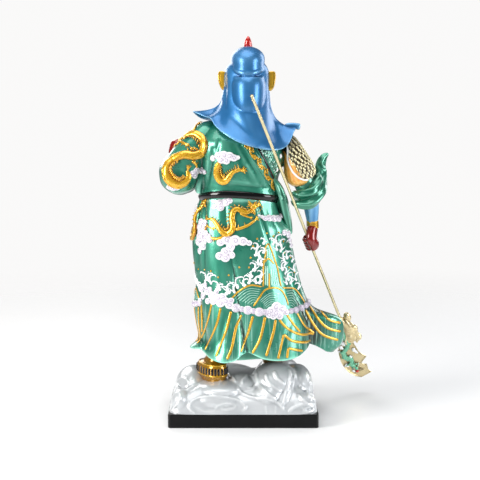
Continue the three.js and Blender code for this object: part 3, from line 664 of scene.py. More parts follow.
# the robe's skirt
skirtSet = {
    "top": 287, "middle": (0, 0, 287), "bottom": (-8, 0, 118), "across": 300, "down": 118,
    "left": through([[80, 63], [88, 61], [94, 57], [100, 55.5], [107, 55.5], [122, 58.5], [143, 61],
                     [158, 60], [170, 58.5], [190, 60], [211, 62], [233, 62], [254, 59], [275, 54],
                     [287, 51]]),
    "right": through([[80, 97], [100, 98], [120, 96], [135, 90], [148, 84], [160, 79], [176, 74], [196, 69],
                      [212, 66], [228, 62], [240, 63], [250, 58], [262, 51], [287, 49]]),
    "back": through([[80, 70], [90, 68], [109, 64], [130, 61], [160, 58], [200, 55], [240, 51], [262, 46],
                     [287, 41]]),
    "front": through([[80, 72], [100, 66], [130, 58], [160, 54], [200, 50], [240, 47], [262, 43], [287, 39]]),
    "flare": through([[80, 24], [88, 32], [105, 34], [120, 33], [127, 28], [131, 18.5], [135, 8.5],
                      [140, 2.5], [150, 0]]),
    "hem": through([[-180, 85], [-150, 82], [-128, 88], [-106, 87], [-92, 92.5], [-78, 88.5], [-62, 90],
                    [-44, 84], [-22, 80], [-8, 83], [5, 91], [18, 84], [32, 81.5], [46, 84], [58, 90],
                    [68, 94.5], [74, 95.5], [80, 87], [85, 82], [98, 79], [110, 80], [120, 86], [130, 97],
                    [142, 86], [156, 92], [168, 83], [180, 85]]),
    # turn at the belt, turn at the hem, depth there, blown out or not
    "folds": [(-64, -60, 6, 0), (-24, 5, 14, 0), (38, 75, 9, 0), (88, 128, 14, 1), (128, 156, 10, 0),
              (170, 184, 11, 0), (212, 214, 10, 0), (254, 250, 9, 0)],
    "backCreases": [(-19, 280, -34, 226, 2.2, 1.7), (10, 196, 8, 162, 2.2, 1.6),
                    (46, 285, 49, 176, 2.4, 1.9), (55, 285, 57, 190, 1.6, 1.2),
                    (-40, 282, -61, 236, 2.0, 1.8), (-49, 282, -66, 228, 1.8, 1.3),
                    (28, 212, 24, 150, 5, 0.8), (-4, 282, -8, 226, 6, 0.7), (20, 142, 30, 90, 3.2, 1.5),
                    (-22, 136, -16, 92, 3.0, 1.2), (-6, 110, 0, 88, 2.6, 1.5), (-64, 132, -48, 90, 3, 1.0),
                    (-90, 128, -104, 96, 3.2, 1.0), (36, 280, 33, 240, 5, 0.8),
                    (-56, 214, -64, 160, 4, 0.9)],
    "frontCreases": [(0, 282, 4, 100, 3.2, 2.0), (-26, 282, -38, 110, 4.0, 1.6),
                     (30, 282, 40, 110, 4.0, 1.6), (-52, 270, -72, 110, 3.4, 1.4),
                     (54, 250, 56, 110, 3.0, 1.2), (14, 220, 20, 100, 3.2, 1.2),
                     (-14, 200, -20, 100, 3.2, 1.2)],
    # drop, inset and rise round the rolled hem and back up inside
    "inside": [(1.0, 0.7, -0.5), (1.0, 1.7, -0.7), (1.0, 2.7, -0.3), (1.0, 3.2, 0.6), (0.985, 3.8, 0),
               (0.96, 6, 0), (0.93, 11, 0), (0.88, 24, 0)],
    "flick": {"turn": -76, "spread": 24, "reach": 6.5, "levels": (99, 90)},
    "shade": {"depth": -0.35, "across": (-0.058, -0.08), "levels": (0.165, 0.145)},
}


def creasesAt(shape, spot):
    return creaseDepth(shape["backCreases" if spot.y > 0 else "frontCreases"], spot.x, spot.z)


def foldAt(turn, drop):
    # the fold before a turn, the one after it and the share of the way between them
    folds = skirtSet["folds"]
    count = len(folds)

    def place(i):
        return blend(folds[i % count][0], folds[i % count][1], drop) + 360 * (i // count)

    i = -1
    while turn < place(i):
        i -= 1
    while turn >= place(i + 1):
        i += 1
    return folds[i % count], folds[(i + 1) % count], (turn - place(i)) / (place(i + 1) - place(i))


def skirtPoint(turn, drop, inset=0.0, raised=0.0):
    first, second, share = foldAt(turn, drop)
    crest = math.sin(pi * clamp(share)) ** 0.7
    level = blend(skirtSet["top"], skirtSet["hem"](turn), drop)
    spot = ovalOf(skirtSet, turn, level)
    spot.z = level + raised
    cut = blend(first[2], second[2], share) * (1 - crest) * (0.1 + 0.9 * drop ** 1.6) + inset
    if not inset:
        cut += creasesAt(skirtSet, spot)
        cut += 0.5 * noise.noise(Vector((spot.x * 0.09, spot.y * 0.09, spot.z * 0.018))) + 0.25
    drawIn(spot, cut)
    if second[3]:
        spot.x -= skirtSet["flare"](level) * crest
    flick = skirtSet["flick"]  # at the left corner of the hem
    away = turn - flick["turn"]
    if abs(away) < flick["spread"]:
        rise = math.cos(math.radians(away * 90 / flick["spread"]))
        spot.x += flick["reach"] * rise * ease(*flick["levels"], level)
    return spot


def makeSkirt():
    mesh = newMesh()
    inside, down = skirtSet["inside"], skirtSet["down"]
    last = down - len(inside) - 1

    def place(u, v):
        row, turn = round(v * down), 360 * u - 180
        if row == 0:
            return Vector(skirtSet["middle"])
        if row <= last:
            return skirtPoint(turn, (row - 1) / (last - 1))
        if row < down:
            return skirtPoint(turn, *inside[row - last - 1])
        return Vector(skirtSet["bottom"])

    def shade(spot):  # the blown side of the hem lies in shade
        dark = skirtSet["shade"]
        return dark["depth"] * ease(*dark["across"], spot.x) * ease(*dark["levels"], spot.z)

    shell(mesh, skirtSet["across"], down, place)
    tree = BVHTree.FromBMesh(mesh)
    finishPiece("robeSkirt", mesh, "robe", crests=(26, 0.28), shade=shade)
    return tree


skirtTree = makeSkirt()

# the hem of the robe worn under it, which fills the gaps between the folds
underSet = {"x": -6, "left": 50, "right": 68, "back": 49.5, "front": 47, "wave": 1.2, "lift": 0.6,
            # inset and level round the hem's section
            "rows": [(12, 108), (1, 100), (0, 90), (0, 81.6), (0.8, 80.4), (2.2, 80), (3.4, 80.6), (4, 82.4),
                     (8, 98), (20, 108)],
            "poles": ((-8, 0, 121), (-8, 0, 116)), "down": 32}


def makeUnderRobe():
    mesh, rows, down = newMesh(), underSet["rows"], underSet["down"]
    profile = columns(rows)

    def place(u, v):
        turn, row = 360 * u - 180, round(v * down)
        if row in (0, down):
            return Vector(underSet["poles"][row // down])
        inset, level = profile((row - 1) / (down - 2) * (len(rows) - 1))
        cut = inset + underSet["wave"] * math.sin(math.radians(6 * turn))
        sides = {side: underSet[side] - cut for side in ("left", "right", "back", "front")}
        level += underSet["lift"] * math.sin(math.radians(5 * turn))
        return oval(turn, level, x=underSet["x"], **sides)

    shell(mesh, 180, down, place)
    finishPiece("underRobe", mesh, "robeDeepGreenAndShade", crests=(14, 0.5))


makeUnderRobe()
print("skirt ready")

# the robe's upper half with both arms
torsoSet = {
    "levels": (276, 394),
    "left": through([[276, 48], [283, 51], [292, 51], [310, 53], [330, 58], [350, 62], [363, 56], [374, 40],
                     [384, 24], [394, 20]]),
    "right": through([[276, 46], [283, 48.6], [292, 46.5], [304, 46.5], [312, 49], [322, 52], [332, 52.5],
                      [343, 49], [352, 43], [360, 34], [372, 26], [386, 20], [394, 16]]),
    "back": through([[276, 39.5], [283, 42], [292, 42], [310, 45], [330, 48], [350, 45], [363, 36], [374, 28],
                     [384, 22], [394, 20]]),
    "front": through([[276, 37], [283, 40], [292, 41], [310, 45], [330, 47], [350, 43], [363, 35], [374, 28],
                      [384, 24], [394, 22]]),
    "lean": through([[276, 1], [310, 0], [350, -3], [374, -7], [394, -8]]),
    "backCreases": [(35, 342, 44, 292, 3.0, 3.2), (28, 352, 33, 330, 2.2, 1.6),
                    (2, 346, -26, 296, 2.2, 1.8), (12, 346, -14, 300, 3.0, 1.2),
                    (-14, 346, -40, 296, 1.8, 1.6), (20, 300, -30, 293, 2.4, 1.4),
                    (34, 300, 2, 292, 3.0, 1.0), (-20, 346, -38, 312, 1.6, 1.7),
                    (-8, 322, -28, 296, 2.4, -0.8)],
    "frontCreases": [(20, 350, -14, 296, 3.0, 1.6), (34, 344, 6, 296, 3.0, 1.4),
                     (-30, 350, -6, 300, 3.0, 1.4), (-44, 340, -22, 296, 3.0, 1.6),
                     (44, 330, 26, 296, 3.0, 1.6)],
}


def torsoPoint(turn, level, proud=0.0, creased=True):
    spot = ovalOf(torsoSet, turn, level, proud, x=torsoSet["lean"](level), square=0.88)
    if creased:
        drawIn(spot, creasesAt(torsoSet, spot))
    return spot


sleeveSet = {
    "upper": [(28, -2, 356), (42, 1, 354), (58, 6, 339), (70, 10, 322), (76, 12, 310)],
    "wide": through([[0, 18], [0.3, 21], [0.6, 23], [1, 25]]), "deep": through([[0, 20], [0.5, 25], [1, 26]]),
    "rims": [(37, 8, 8, 0), (35.8, 13, 13, 0), (33, 17.5, 17.5, 0), (24, 23, 23, 0), (10, 25.5, 26, 0),
             (-12, 26, 27, 1), (-36, 26, 28, 1), (-54, 26, 29, 1), (-55.4, 25.6, 28.6, 1),
             (-55.8, 24.8, 27.8, 1), (-55, 23.5, 26.5, 1), (-50, 22.6, 25.4, 1), (-40, 19, 22, 1),
             (-32, 8, 10, 1)],  # y, half width, half height, drop
    "centre": (78, 309),
    "creases": [(58, 356, 52, 300, 2.4, 1.8), (60, 340, 84, 330, 3.0, 0.9), (66, 292, 98, 300, 3.0, 1.2),
                (60, 300, 90, 286, 2.4, 1.2), (56, 318, 66, 288, 2.4, 1.4)],
    "web": [(44, 8, 324), (48, 13, 312), (51.5, 14, 303), (52.5, 12, 294), (51.5, 9, 286)],
    "right": [(-46, 2, 342), (-66, 5, 320), (-80, 6, 296), (-84, 5, 284)],
    "limb": through([[0, 9], [0.2, 13], [0.35, 14], [0.6, 12], [0.7, 10.5], [0.92, 6.6],
                     [1, 6.6]]), "limbShare": 0.55,
}


def makeUpperRobe():
    s, mesh = sleeveSet, newMesh()
    cappedShell(mesh, 220, 120, lambda turn, share: torsoPoint(turn, blend(*torsoSet["levels"], share)))
    # left sleeve: the upper arm, then the wide mouth that opens to the front
    bar(mesh, s["upper"], 40, lambda t: (s["wide"](t), s["deep"](t)), sides=48)
    middle, level = s["centre"]
    rims = columns(s["rims"])

    def sleeve(turn, share):
        y, across, high, drop = rims(share * (len(s["rims"]) - 1))
        angle = math.radians(turn)
        ripple = 1 + 0.035 * math.sin(3 * angle + 0.12 * y) * ease(10, -50, y)
        ripple += 0.012 * math.sin(7 * angle - 0.1 * y)
        spot = Vector((middle + math.cos(angle) * across * ripple, y,
                       level - drop + math.sin(angle) * high * ripple))
        if y >= 0:
            spot.y -= creaseDepth(s["creases"], spot.x, spot.z)
        return spot

    cappedShell(mesh, 96, 80, sleeve)
    # the cloth that hangs between the sleeve and the side
    bar(mesh, s["web"], 30, lambda t: (8.5 - 2.5 * t, 10 - 2 * t), sides=32)
    # right arm: what is left of the sleeve under the guard
    bar(mesh, s["right"], 30, lambda t: [s["limb"](t * s["limbShare"])] * 2, sides=32)
    whole = castTogether(mesh, 1.15, 4)
    tree = BVHTree.FromBMesh(whole)
    finishPiece("robeUpper", whole, "robe", crests=(22, 0.5))
    return tree


upperTree = makeUpperRobe()
print("upper robe ready")

# the hood and its cape
hoodSet = {
    "x": -7.2, "capeY": 5, "neck": 404, "top": (-8, 0, 454), "inner": (-8, 6, 392), "split": 0.45,
    "down": 130,
    "left": through([[404, 33], [410, 31.4], [418, 30.4], [430, 29.8], [438, 27.8], [444, 24], [449, 18],
                     [454, 8]]),
    "right": through([[404, 28.8], [415, 27.8], [430, 27.6], [438, 26], [444, 23], [449, 18], [454, 8]]),
    "back": through([[404, 34], [415, 33], [430, 30], [442, 26], [452, 18], [458, 8]]),
    "front": through([[404, 8], [415, 9], [430, 14], [442, 20], [452, 16], [458, 8]]),
    "reach": through([[-180, 38], [-135, 46], [-106, 62], [-94, 69], [-80, 56], [-66, 50.5], [-33, 51.5],
                      [2, 53], [32, 55], [60, 56], [76, 58], [84, 60.5], [90, 61], [97, 60.5], [104, 58],
                      [135, 44], [180, 38]]),
    "level": through([[-180, 368], [-135, 373], [-106, 379], [-94, 387], [-80, 382], [-66, 379], [-54, 371],
                      [-33, 361], [-14, 352.5], [2, 347.5], [18, 344], [34, 342], [51, 343], [64, 347.5],
                      [74, 355], [82, 363.5], [90, 367], [98, 367], [104, 365], [135, 367], [180, 368]]),
    "creases": [(18, 386, -20, 346, 6.5, 2.0), (-2, 386, -34, 352, 9, -1.0), (-40, 392, -47, 362, 5, 1.6),
                (28, 398, 46, 380, 4, 2.0), (-42, 402, -58, 372, 3.4, 1.8), (20.5, 436, 21, 392, 2.4, 1.8),
                (-36.5, 436, -37, 392, 2.4, 1.8)],
    # share of the way down, inwards and drop round the cape's edge and back up inside
    "lips": [(1, 0.3, 1.2), (1, 1.4, 1.9), (0.985, 2.6, 1.9), (0.96, 3.0, 2.2), (0.88, 3.4, 3),
             (0.8, 4.6, 2.6), (0.72, 6, 2)],
    "tongue": [(-53, 6, 368.5), (-62, 6, 369.2), (-69, 6, 368.2), (-73.5, 6, 367.6)],
    "dome": through([[0, 0.82], [0.035, 0.94], [0.09, 1.02], [0.15, 1.025], [0.21, 0.99], [0.28, 0.985],
                     [0.5, 1.0], [0.61, 0.975], [0.69, 0.92], [0.756, 0.85], [0.84, 0.71], [0.912, 0.53],
                     [0.974, 0.26], [1, 0.02]]),
    "bun": through([[0, 0.05], [0.07, 0.45], [0.18, 0.72], [0.33, 0.9], [0.5, 0.98], [0.65, 1.0],
                    [0.88, 0.97], [1, 0.86]]),
}


def hoodPoint(share, turn):
    h = hoodSet
    if share < h["split"]:
        return ovalOf(h, turn, blend(h["top"][2], h["neck"], (share / h["split"]) ** 0.9), x=h["x"])
    fall = min((share - h["split"]) / (1 - h["split"]), 1.0)
    start = ovalOf(h, turn, h["neck"], x=h["x"])
    dx, dy = compass(turn)
    end = Vector((h["x"] + dx * h["reach"](turn), h["capeY"] + dy * h["reach"](turn), h["level"](turn)))
    outward = fall ** blend(1.1, 1.9, dx * dx)
    level = blend(start.z, end.z, 1 - (1 - fall) ** blend(1.15, 1.9, dx * dx))
    return Vector((blend(start.x, end.x, outward), blend(start.y, end.y, outward), level))


def makeHood():
    h, mesh = hoodSet, newMesh()
    lips, down = h["lips"], h["down"]
    last = down - len(lips) - 1

    def place(u, v):
        row, turn = round(v * down), 360 * u - 180
        dx, dy = compass(turn)
        if row == 0:
            return Vector(h["top"])
        if row <= last:
            spot = hoodPoint(((row - 1) / (last - 1)) ** 0.8, turn)
            if spot.y > 0:
                cut = creaseDepth(h["creases"], spot.x, spot.z)
                spot -= Vector((dx * cut, dy * cut, 0.35 * cut))
            return spot
        if row < down:
            share, inward, drop = lips[row - last - 1]
            return hoodPoint(share, turn) - Vector((dx * inward, dy * inward, drop))
        return Vector(h["inner"])

    def dome(turn, share):  # the round cap under the cloth
        full, level = h["dome"](share), blend(428.2 + 7.5 * math.sin(math.radians(turn)) ** 2, 467.2, share)
        wide = 21 * full
        return oval(turn, level, x=-7.6, y=6, left=wide, right=wide, back=29.5 * full, front=27 * full)

    def bun(turn, share):  # the bun of hair under the band
        full, wide = h["bun"](share), 21.5 * h["bun"](share)
        return oval(turn, blend(374.5, 429, share), x=-8.2, y=16, left=wide, right=wide,
                    back=25 * full + 6.5 * (1 - share), front=20 * full)

    shell(mesh, 260, down, place)
    # the tongue of cloth at its right corner
    bar(mesh, h["tongue"], 24, lambda t: (2.4 + 0.6 * t, 3.2 + 1.4 * t), sides=28, facing=(0, 0, 1),
        ends=0.14)
    cappedShell(mesh, 120, 60, dome)
    cappedShell(mesh, 100, 60, bun)
    # the band tied below the cap
    band = []
    for turn in range(-96, 97, 4):
        level = 424.6 + 4 * math.sin(math.radians(turn)) ** 2
        band.append(oval(turn, level, x=-8, y=8, left=18.8, right=18.8, back=28.6, front=25))
    rod(mesh, band, (2.9, 2.6), sides=16, facing=(0, 0, 1), ends=0.06)
    finishPiece("hood", castTogether(mesh, 0.95, 5), "hood", crests=(26, 0.34))


makeHood()
print("hood ready")

# the belt, sashes and hanging cloth
beltSet = {
    # levels round the belt's section and how proud it stands there
    "profile": [(280.8, -3), (280.8, 1.6), (281.1, 2.8), (282.0, 3.6), (283.6, 4.1), (285.4, 4.25),
                (287.2, 4.1), (288.8, 3.6), (289.7, 2.8), (290, 1.6), (290, -3)],
    "tilt": through([(-180, 0), (-90, -8), (-50, -2), (-20, 0.6), (0, 0), (35, -3.8), (60, -6.8), (90, -9),
                     (180, 0)]),
    "plaque": (13, 8.5), "plaqueLevel": 285.5, "studs": (-150, -128, 128, 150, 106, -106),
}


def makeBelt():
    mesh, gold, rows, tilt = newMesh(), newMesh(), beltSet["profile"], beltSet["tilt"]
    profile = columns(rows)

    def surface(turn, share):
        level, proud = profile(share * (len(rows) - 1))
        return torsoPoint(turn, level + tilt(turn), proud, False)

    cappedShell(mesh, 180, 42, surface)
    finishPiece("belt", mesh, "black", crests=(10, 0.4))
    plaque = torsoPoint(180, beltSet["plaqueLevel"], 4.0, False)
    wide, high = beltSet["plaque"]
    out = Vector((0, -1, 0.05)).normalized()
    ball(gold, plaque, (wide, high, 3.0), out, (24, 12))
    ball(gold, plaque + out * 2.2, (wide * 0.62, high * 0.62, 2.2), out, (20, 10))
    angles = [2 * pi * k / 24 for k in range(25)]
    ring = [plaque + out * 2.0 + Vector((math.cos(a) * wide * 0.8, 0, math.sin(a) * high * 0.8))
            for a in angles]
    rod(gold, ring, (0.9, 0.9), facing=(0, -1, 0), ends=0.02)
    for turn in beltSet["studs"]:
        spot, way = torsoPoint(turn, 285.3 + tilt(turn), 3.9, False), Vector((*compass(turn), 0))
        ball(gold, spot, (3.4, 3.4, 1.5), way, (16, 8))
        ball(gold, spot + way, (1.6, 1.6, 1.4), way, (12, 6))
    finishPiece("beltPlaques", gold, "line")


makeBelt()

# each is its places, half width and half depth
sashSet = {
    "sides": [([(-38, 24, 306), (-44, 20, 294), (-50, 16, 278), (-56, 11, 256), (-63, 6, 232)], 7.5, 11),
              ([(49, 8, 282), (54, 8, 256), (57, 6, 226), (57, 4, 196)], 5, 12)],
    "front": [([(-3, -42, 292), (-7, -45, 272), (-10, -47, 246), (-13, -50, 214)], 6, 4),
              ([(3, -42, 292), (7, -45, 276), (9, -47, 256), (13, -49, 230)], 6, 4)],
    "knot": ((0, -46, 291), (7, 4.5, 5.5)),
}


def makeSashes():
    cloth, ends = newMesh(), newMesh()
    for row in sashSet["sides"]:
        lock(cloth, *row, sides=40, flutes=(6, 0.16, 0.1))
    whole = castTogether(cloth, 0.8, 2)
    tree = BVHTree.FromBMesh(whole)
    finishPiece("sideSashes", whole, "robeDeepGreenAndShade", crests=(18, 0.6))
    for row in sashSet["front"]:
        lock(ends, *row, sides=24, flutes=(4, 0.12, 0.0))
    ball(ends, *sashSet["knot"])
    finishPiece("beltEnds", castTogether(ends, 0.7, 1), "red", crests=(12, 0.8))
    return tree


sashTree = makeSashes()
print("belt and sashes ready")

# head: finial, wings, cap front, face, beard
headSet = {
    "x": -8,
    "finial": [(-8, -17, 452), (-8, -13, 462), (-8, -9, 472), (-8, -8, 480)], "finialWidth": 6.1,
    "wing": [(1, 0, -12), (5, 1, -8), (7.5, 1, 0), (8.0, 0, 7), (7.5, -1, 11.5)],
    "wingAt": (24, 425), "spread": {1: 1.0, -1: 0.6},
    "broad": through([(0, 3.0), (0.3, 5.2), (0.75, 5.6), (1, 4.6)]),
    "band": (427.6, 437.4), "studLevel": 432.6,
    "rims": [(428.4, 26.4), (436.8, 28.2)],  # level, reach to the front
    "jewel": ((-8, -35.2, 441.5), (5.2, 3.4, 5.8)),
}


def makeFinial():
    mesh, wide = newMesh(), headSet["finialWidth"]
    bar(mesh, headSet["finial"], 40, lambda t: [wide * max(1 - t ** 2.6, 0.0) ** 0.6] * 2, sides=32)
    finishPiece("finial", mesh, "red", crests=(12, 0.6))


def makeWings():
    mesh, broad, last = newMesh(), headSet["broad"], 36
    out, level = headSet["wingAt"]
    for side in (-1, 1):
        wide, middle = side * headSet["spread"][side], headSet["x"] + side * out
        path = smoothPath([(middle + x * wide, y, level + z) for x, y, z in headSet["wing"]], last)
        rod(mesh, path, lambda t: (broad(t), 3.2 - 0.8 * t), sides=28, ends=0.1)
        rim = [spot + Vector((side * broad(i / last) * 0.8, 1.6, 0)) for i, spot in enumerate(path)][2:-1]
        rod(mesh, rim, (1.2, 1.2), sides=10, ends=0.08)
    finishPiece("capWings", mesh, "line", crests=(12, 0.7), shade=lambda spot: 0.25)


def makeCapFront():
    mesh, jewel, x = newMesh(), newMesh(), headSet["x"]

    def cap(turn, level, wide, front):
        return oval(turn, level, x=x, y=-8, left=wide, right=wide, back=8, front=front)

    def band(turn, share):
        full = math.sin(pi * share)
        return cap(turn, blend(*headSet["band"], share), 24 + 0.8 * full, 26 + 2 * share + 1.2 * full ** 0.5)

    cappedShell(mesh, 120, 24, band)
    for turn in range(-250, -109, 10):
        ball(mesh, cap(turn, headSet["studLevel"], 24.8, 28), (2.0, 2.0, 1.5), Vector((*compass(turn), 0.1)))
    for level, front in headSet["rims"]:
        rim = [cap(turn, level, 24.4, front) for turn in range(-268, -91, 4)]
        rod(mesh, rim, (0.9, 0.9), sides=10, facing=(0, 0, 1), ends=0.03)
    for k in range(5):  # the leaves that frame the jewel
        dx, dz = math.cos(math.radians(30 + 30 * k)), math.sin(math.radians(30 + 30 * k))
        leaf = [(x + dx * 4, -35.5, 440 + dz * 4), (x + dx * 9, -35.5, 441 + dz * 8),
                (x + dx * 14, -33 + 3 * dz, 440 + dz * 12)]
        bar(mesh, leaf, 12, lambda t: (2.6 * (1 - 0.6 * t), 1.2), sides=10, facing=(0, -1, 0), ends=0.2)
    finishPiece("capBand", mesh, "line", crests=(8, 0.9))
    ball(jewel, *headSet["jewel"], grid=(24, 14))
    finishPiece("capJewel", jewel, "red")


faceSet = {
    "chin": 382, "brim": 434, "x": -8, "y": -13,
    "width": through([[0, 5], [0.08, 11], [0.3, 17], [0.55, 19.5], [0.8, 19], [1, 16]]),
    "depth": through([[0, 8], [0.08, 14], [0.3, 20], [0.55, 22], [0.8, 22], [1, 18]]),
    "eye": (7.6, 413.6), "eyeSize": (3.7, 1.75), "ear": ((19.5, -10, 409), (1.8, 3.6, 6.2)),
    # height, distance from the middle line, level, half width and half height, with each one on both sides
    "bumps": [(5.6, 0, 403, 2.6, 3.2), (3.4, 0, 410, 2.2, 7), (2.2, 3.2, 402, 1.7, 2.0),  # nose
              (1.6, 8, 420.5, 6, 2.2), (-2.2, 7.6, 414, 4.6, 3.0),  # brows and sockets
              (0.7, 7.6, 416.2, 4.4, 0.8), (0.5, 7.6, 411.4, 4.2, 0.8),  # lids
              (1.6, 11.5, 405, 5, 5),  # cheeks
              (1.2, 0, 395.4, 5.4, 1.3), (1.5, 0, 392.4, 4.6, 1.4), (-0.9, 0, 394, 6.5, 0.5),  # lips
              (-0.5, 0, 398.4, 0.9, 2.2), (1.3, 0, 386.5, 4.6, 3.4),  # groove over the lip, and chin
              (-0.6, 0, 389.8, 4.6, 1.0)],  # hollow under the lip
    # a lid's places as shares of an eye's half width, a brow's beside its eye, a lip's along its half length
    "lid": (-1, -0.7, -0.3, 0.1, 0.5, 0.85, 1.05),
    "brow": [(-4.4, 5.6), (-1, 7.6), (3, 9.0), (6.6, 8.4)],
    "lip": [(-1, -0.3), (-0.4, 0.4), (0, 0), (0.4, 0.4), (1, -0.3)],
    "lips": [(395.3, 5.0, 0.75), (392.7, 4.2, 0.95)],  # level, half length, half height
}


def facePoint(turn, share):
    f = faceSet
    z = blend(f["chin"], f["brim"], share)
    dx, dy = compass(turn + 28 * math.sin(math.radians(turn)) * math.cos(math.radians(turn)))
    spot = Vector((f["x"] + dx * f["width"](share), f["y"] + dy * f["depth"](share), z))
    if dy < 0:
        x = abs(spot.x - f["x"])
        spot.y -= sum(height * math.exp(-((x - away) / wide) ** 2 - ((z - level) / high) ** 2)
                      for height, away, level, wide, high in f["bumps"])
    return spot


def makeFace():
    f, mesh = faceSet, newMesh()
    cappedShell(mesh, 170, 130, facePoint)
    (out, y, level), earSize = f["ear"]
    for side in (-1, 1):
        ball(mesh, (f["x"] + side * out, y, level), earSize, grid=(16, 10))
    tree = BVHTree.FromBMesh(mesh)
    finishPiece("face", mesh, "skin", crests=(14, 0.9))
    eyes, dark, lips = newMesh(), newMesh(), newMesh()
    wide, high = f["eyeSize"]

    def line(onto, places, steps, lift, size, ends, **more):
        spots, outs = lay([tree], places, "front", steps, lift)
        rod(onto, spots, size, outs=outs, ends=ends, **more)

    for side in (-1, 1):
        x, z = f["x"] + side * f["eye"][0], f["eye"][1]
        spot, out = castOnto([tree], x, z, "front")
        ball(eyes, spot - out * 0.3, (wide, high, 1.3), out, (20, 10))
        ball(dark, spot + out * 0.75, (1.45, 1.45, 0.5), out, (16, 8), tone=0.5)
        lid = [(x + side * (wide + 0.6) * c, z + high * 1.06 * math.sqrt(max(0, 1 - c * c)) + 0.3 * c)
               for c in f["lid"]]
        line(dark, lid, 18, 0.5, (0.45, 0.5), 0.2)
        brow = [(x + side * away, z + rise) for away, rise in f["brow"]]
        line(dark, brow, 22, 0.3, lambda t: (1.35 * math.sin(pi * (0.2 + 0.75 * t)), 1.0), 0.15, sides=10,
             flutes=(5, 0.2, 1))
    for level, half, tall in f["lips"]:
        places = [(f["x"] + half * share, level + rise) for share, rise in f["lip"]]
        line(lips, places, 20, 0.1, (tall, 0.7), 0.3, sides=10)
    finishPiece("eyes", eyes, "white")
    finishPiece("browsAndPupils", dark, "hair")
    finishPiece("lips", lips, "red")


makeFinial()
makeWings()
makeCapFront()
makeFace()

beardSet = {
    "x": through([[0, -8], [0.5, -7], [1, -2]]), "y": through([[0, -29], [0.2, -37], [0.6, -47], [1, -52]]),
    "width": through([[0, 14], [0.12, 18], [0.45, 16], [0.8, 11], [1, 3]]),
    "depth": through([[0, 5], [0.15, 10], [0.6, 8], [1, 3]]), "levels": (397, 296),
    "drawn": [(2, -36, 388), (26, -52, 374), (54, -67, 355), (74, -72, 343), (85, -71, 330), (88, -70, 316),
              (87, -70, 300)], "drawnSize": (4.6, 3.8),
    "strands": 30, "seed": 4,
}


def makeBeard():
    b, chance, mesh = beardSet, random.Random(beardSet["seed"]), newMesh()

    def fall(turn, share):
        dx, dy = compass(turn)
        flute = 0.93 - 0.12 * (0.5 + 0.5 * math.cos(math.radians(turn * 9 + 120 * share)))
        wide, deep = b["width"](share) * flute, b["depth"](share) * flute
        return Vector((b["x"](share) + dx * wide, b["y"](share) + dy * deep, blend(*b["levels"], share)))

    cappedShell(mesh, 120, 70, fall)
    for k in range(b["strands"]):
        start = 92 + 176 * k / (b["strands"] - 1)
        sway, reach, size = chance.uniform(-9, 9), chance.uniform(0.84, 1.0), chance.uniform(1.0, 1.7)
        shares = [0.03 + (reach - 0.03) * i / 44 for i in range(45)]
        path = [fall(start + sway * math.sin(5 * share + k), share) for share in shares]
        rod(mesh, path, lambda t: [size * (1 - 0.55 * t)] * 2, sides=8, facing=(0, -1, 0.1), ends=0.12)
    # the lock that he draws aside, twisted from several strands
    (width, depth), facing, steps = b["drawnSize"], (0, -1, 0.4), 60
    spine = smoothPath(b["drawn"], steps)
    lock(mesh, b["drawn"], width, depth, steps=steps, sides=16, facing=facing)
    for k in range(8):
        path = []
        for i, spot in enumerate(spine):
            t, along = i / steps, wayAt(spine, i)
            side = along.cross(Vector(facing)).normalized()
            full = max(math.sin(pi * clamp(t, 0.02, 0.98)), 0.05) ** 0.55
            angle = 2 * pi * (k / 8 + 0.5 * t)
            around = side * math.cos(angle) * width + side.cross(along) * math.sin(angle) * depth
            path.append(spot + around * full)
        rod(mesh, path, (1.5, 1.5), sides=8, facing=facing, ends=0.1)
    for side in (-1, 1):
        for k in range(3):
            # moustache
            places = [(1.5, -38.4, 399 - k), (9 + k, -37.6, 395 - 2 * k),
                      (14.5 + k * 0.8, -37.5, 383 - 2 * k), (15.5 - k, -40.5, 367 - 4 * k)]
            places = [(-8 + side * x, y, z) for x, y, z in places]
            lock(mesh, places, 1.9, 1.8, steps=30, sides=10, facing=(0, -1, 0))
    finishPiece("beard", mesh, "hair", crests=(6, 0.9))


makeBeard()
print("head ready")

# hands
fistSet = {
    "fingers": (-6.6, -2.2, 2.2, 6.6), "bends": (40, 95, 150, 205, 260),
    "right": ((-86.4, -1.4, 221.7), (-119.2, -154.6, -295.4), (-0.8, 0.6, 0.1), (-90, -1.5, 243), 5.5),
    "left": ((84, -66, 334), (0.2, -0.05, -1), (0.5, 1, 0), (83, -56, 331), 4.8),
    "grip": (-88.1, -3.6, 217.5),
}


def makeFist(name, centre, axis, outward, wrist, reach):
    # axis is the way the grip runs, outward the way the back of the hand faces
    centre, axis, outward = Vector(centre), Vector(axis).normalized(), Vector(outward)
    side = axis.cross(outward).normalized()
    back = side.cross(axis).normalized()
    mesh = newMesh()

    def place(along, toBack, toSide):
        return centre + axis * along + back * toBack + side * toSide

    for along in fistSet["fingers"]:
        angles = [math.radians(turn) for turn in fistSet["bends"]]
        knuckles = [place(along, math.cos(angle) * reach, math.sin(angle) * reach) for angle in angles]
        bar(mesh, knuckles, 24, lambda t: [2.5 - 0.4 * t + 0.35 * abs(math.sin(6 * t))] * 2, sides=14,
            facing=axis, ends=0.1)
    thumb = [place(-8, 5, -4), place(-10, 0, -6.5), place(-8, -5, -5)]
    bar(mesh, thumb, 16, (2.7, 2.6), sides=14, facing=axis, ends=0.16)
    palm = [wrist, place(-8, reach, 0.5), place(1, reach + 0.8, 1), place(9, reach - 1, 1)]
    bar(mesh, palm, 24, lambda t: (7.6 + 0.6 * math.sin(3 * t), 7.2 - 2.2 * t), sides=20, facing=outward,
        ends=0.08)
    for along in fistSet["fingers"]:  # knuckle bones
        ball(mesh, place(along, reach + 2.2, 3.2), (2.3, 2.3, 2.3))
    finishPiece(name, castTogether(mesh, 0.5, 2), "skin", crests=(14, 0.9))


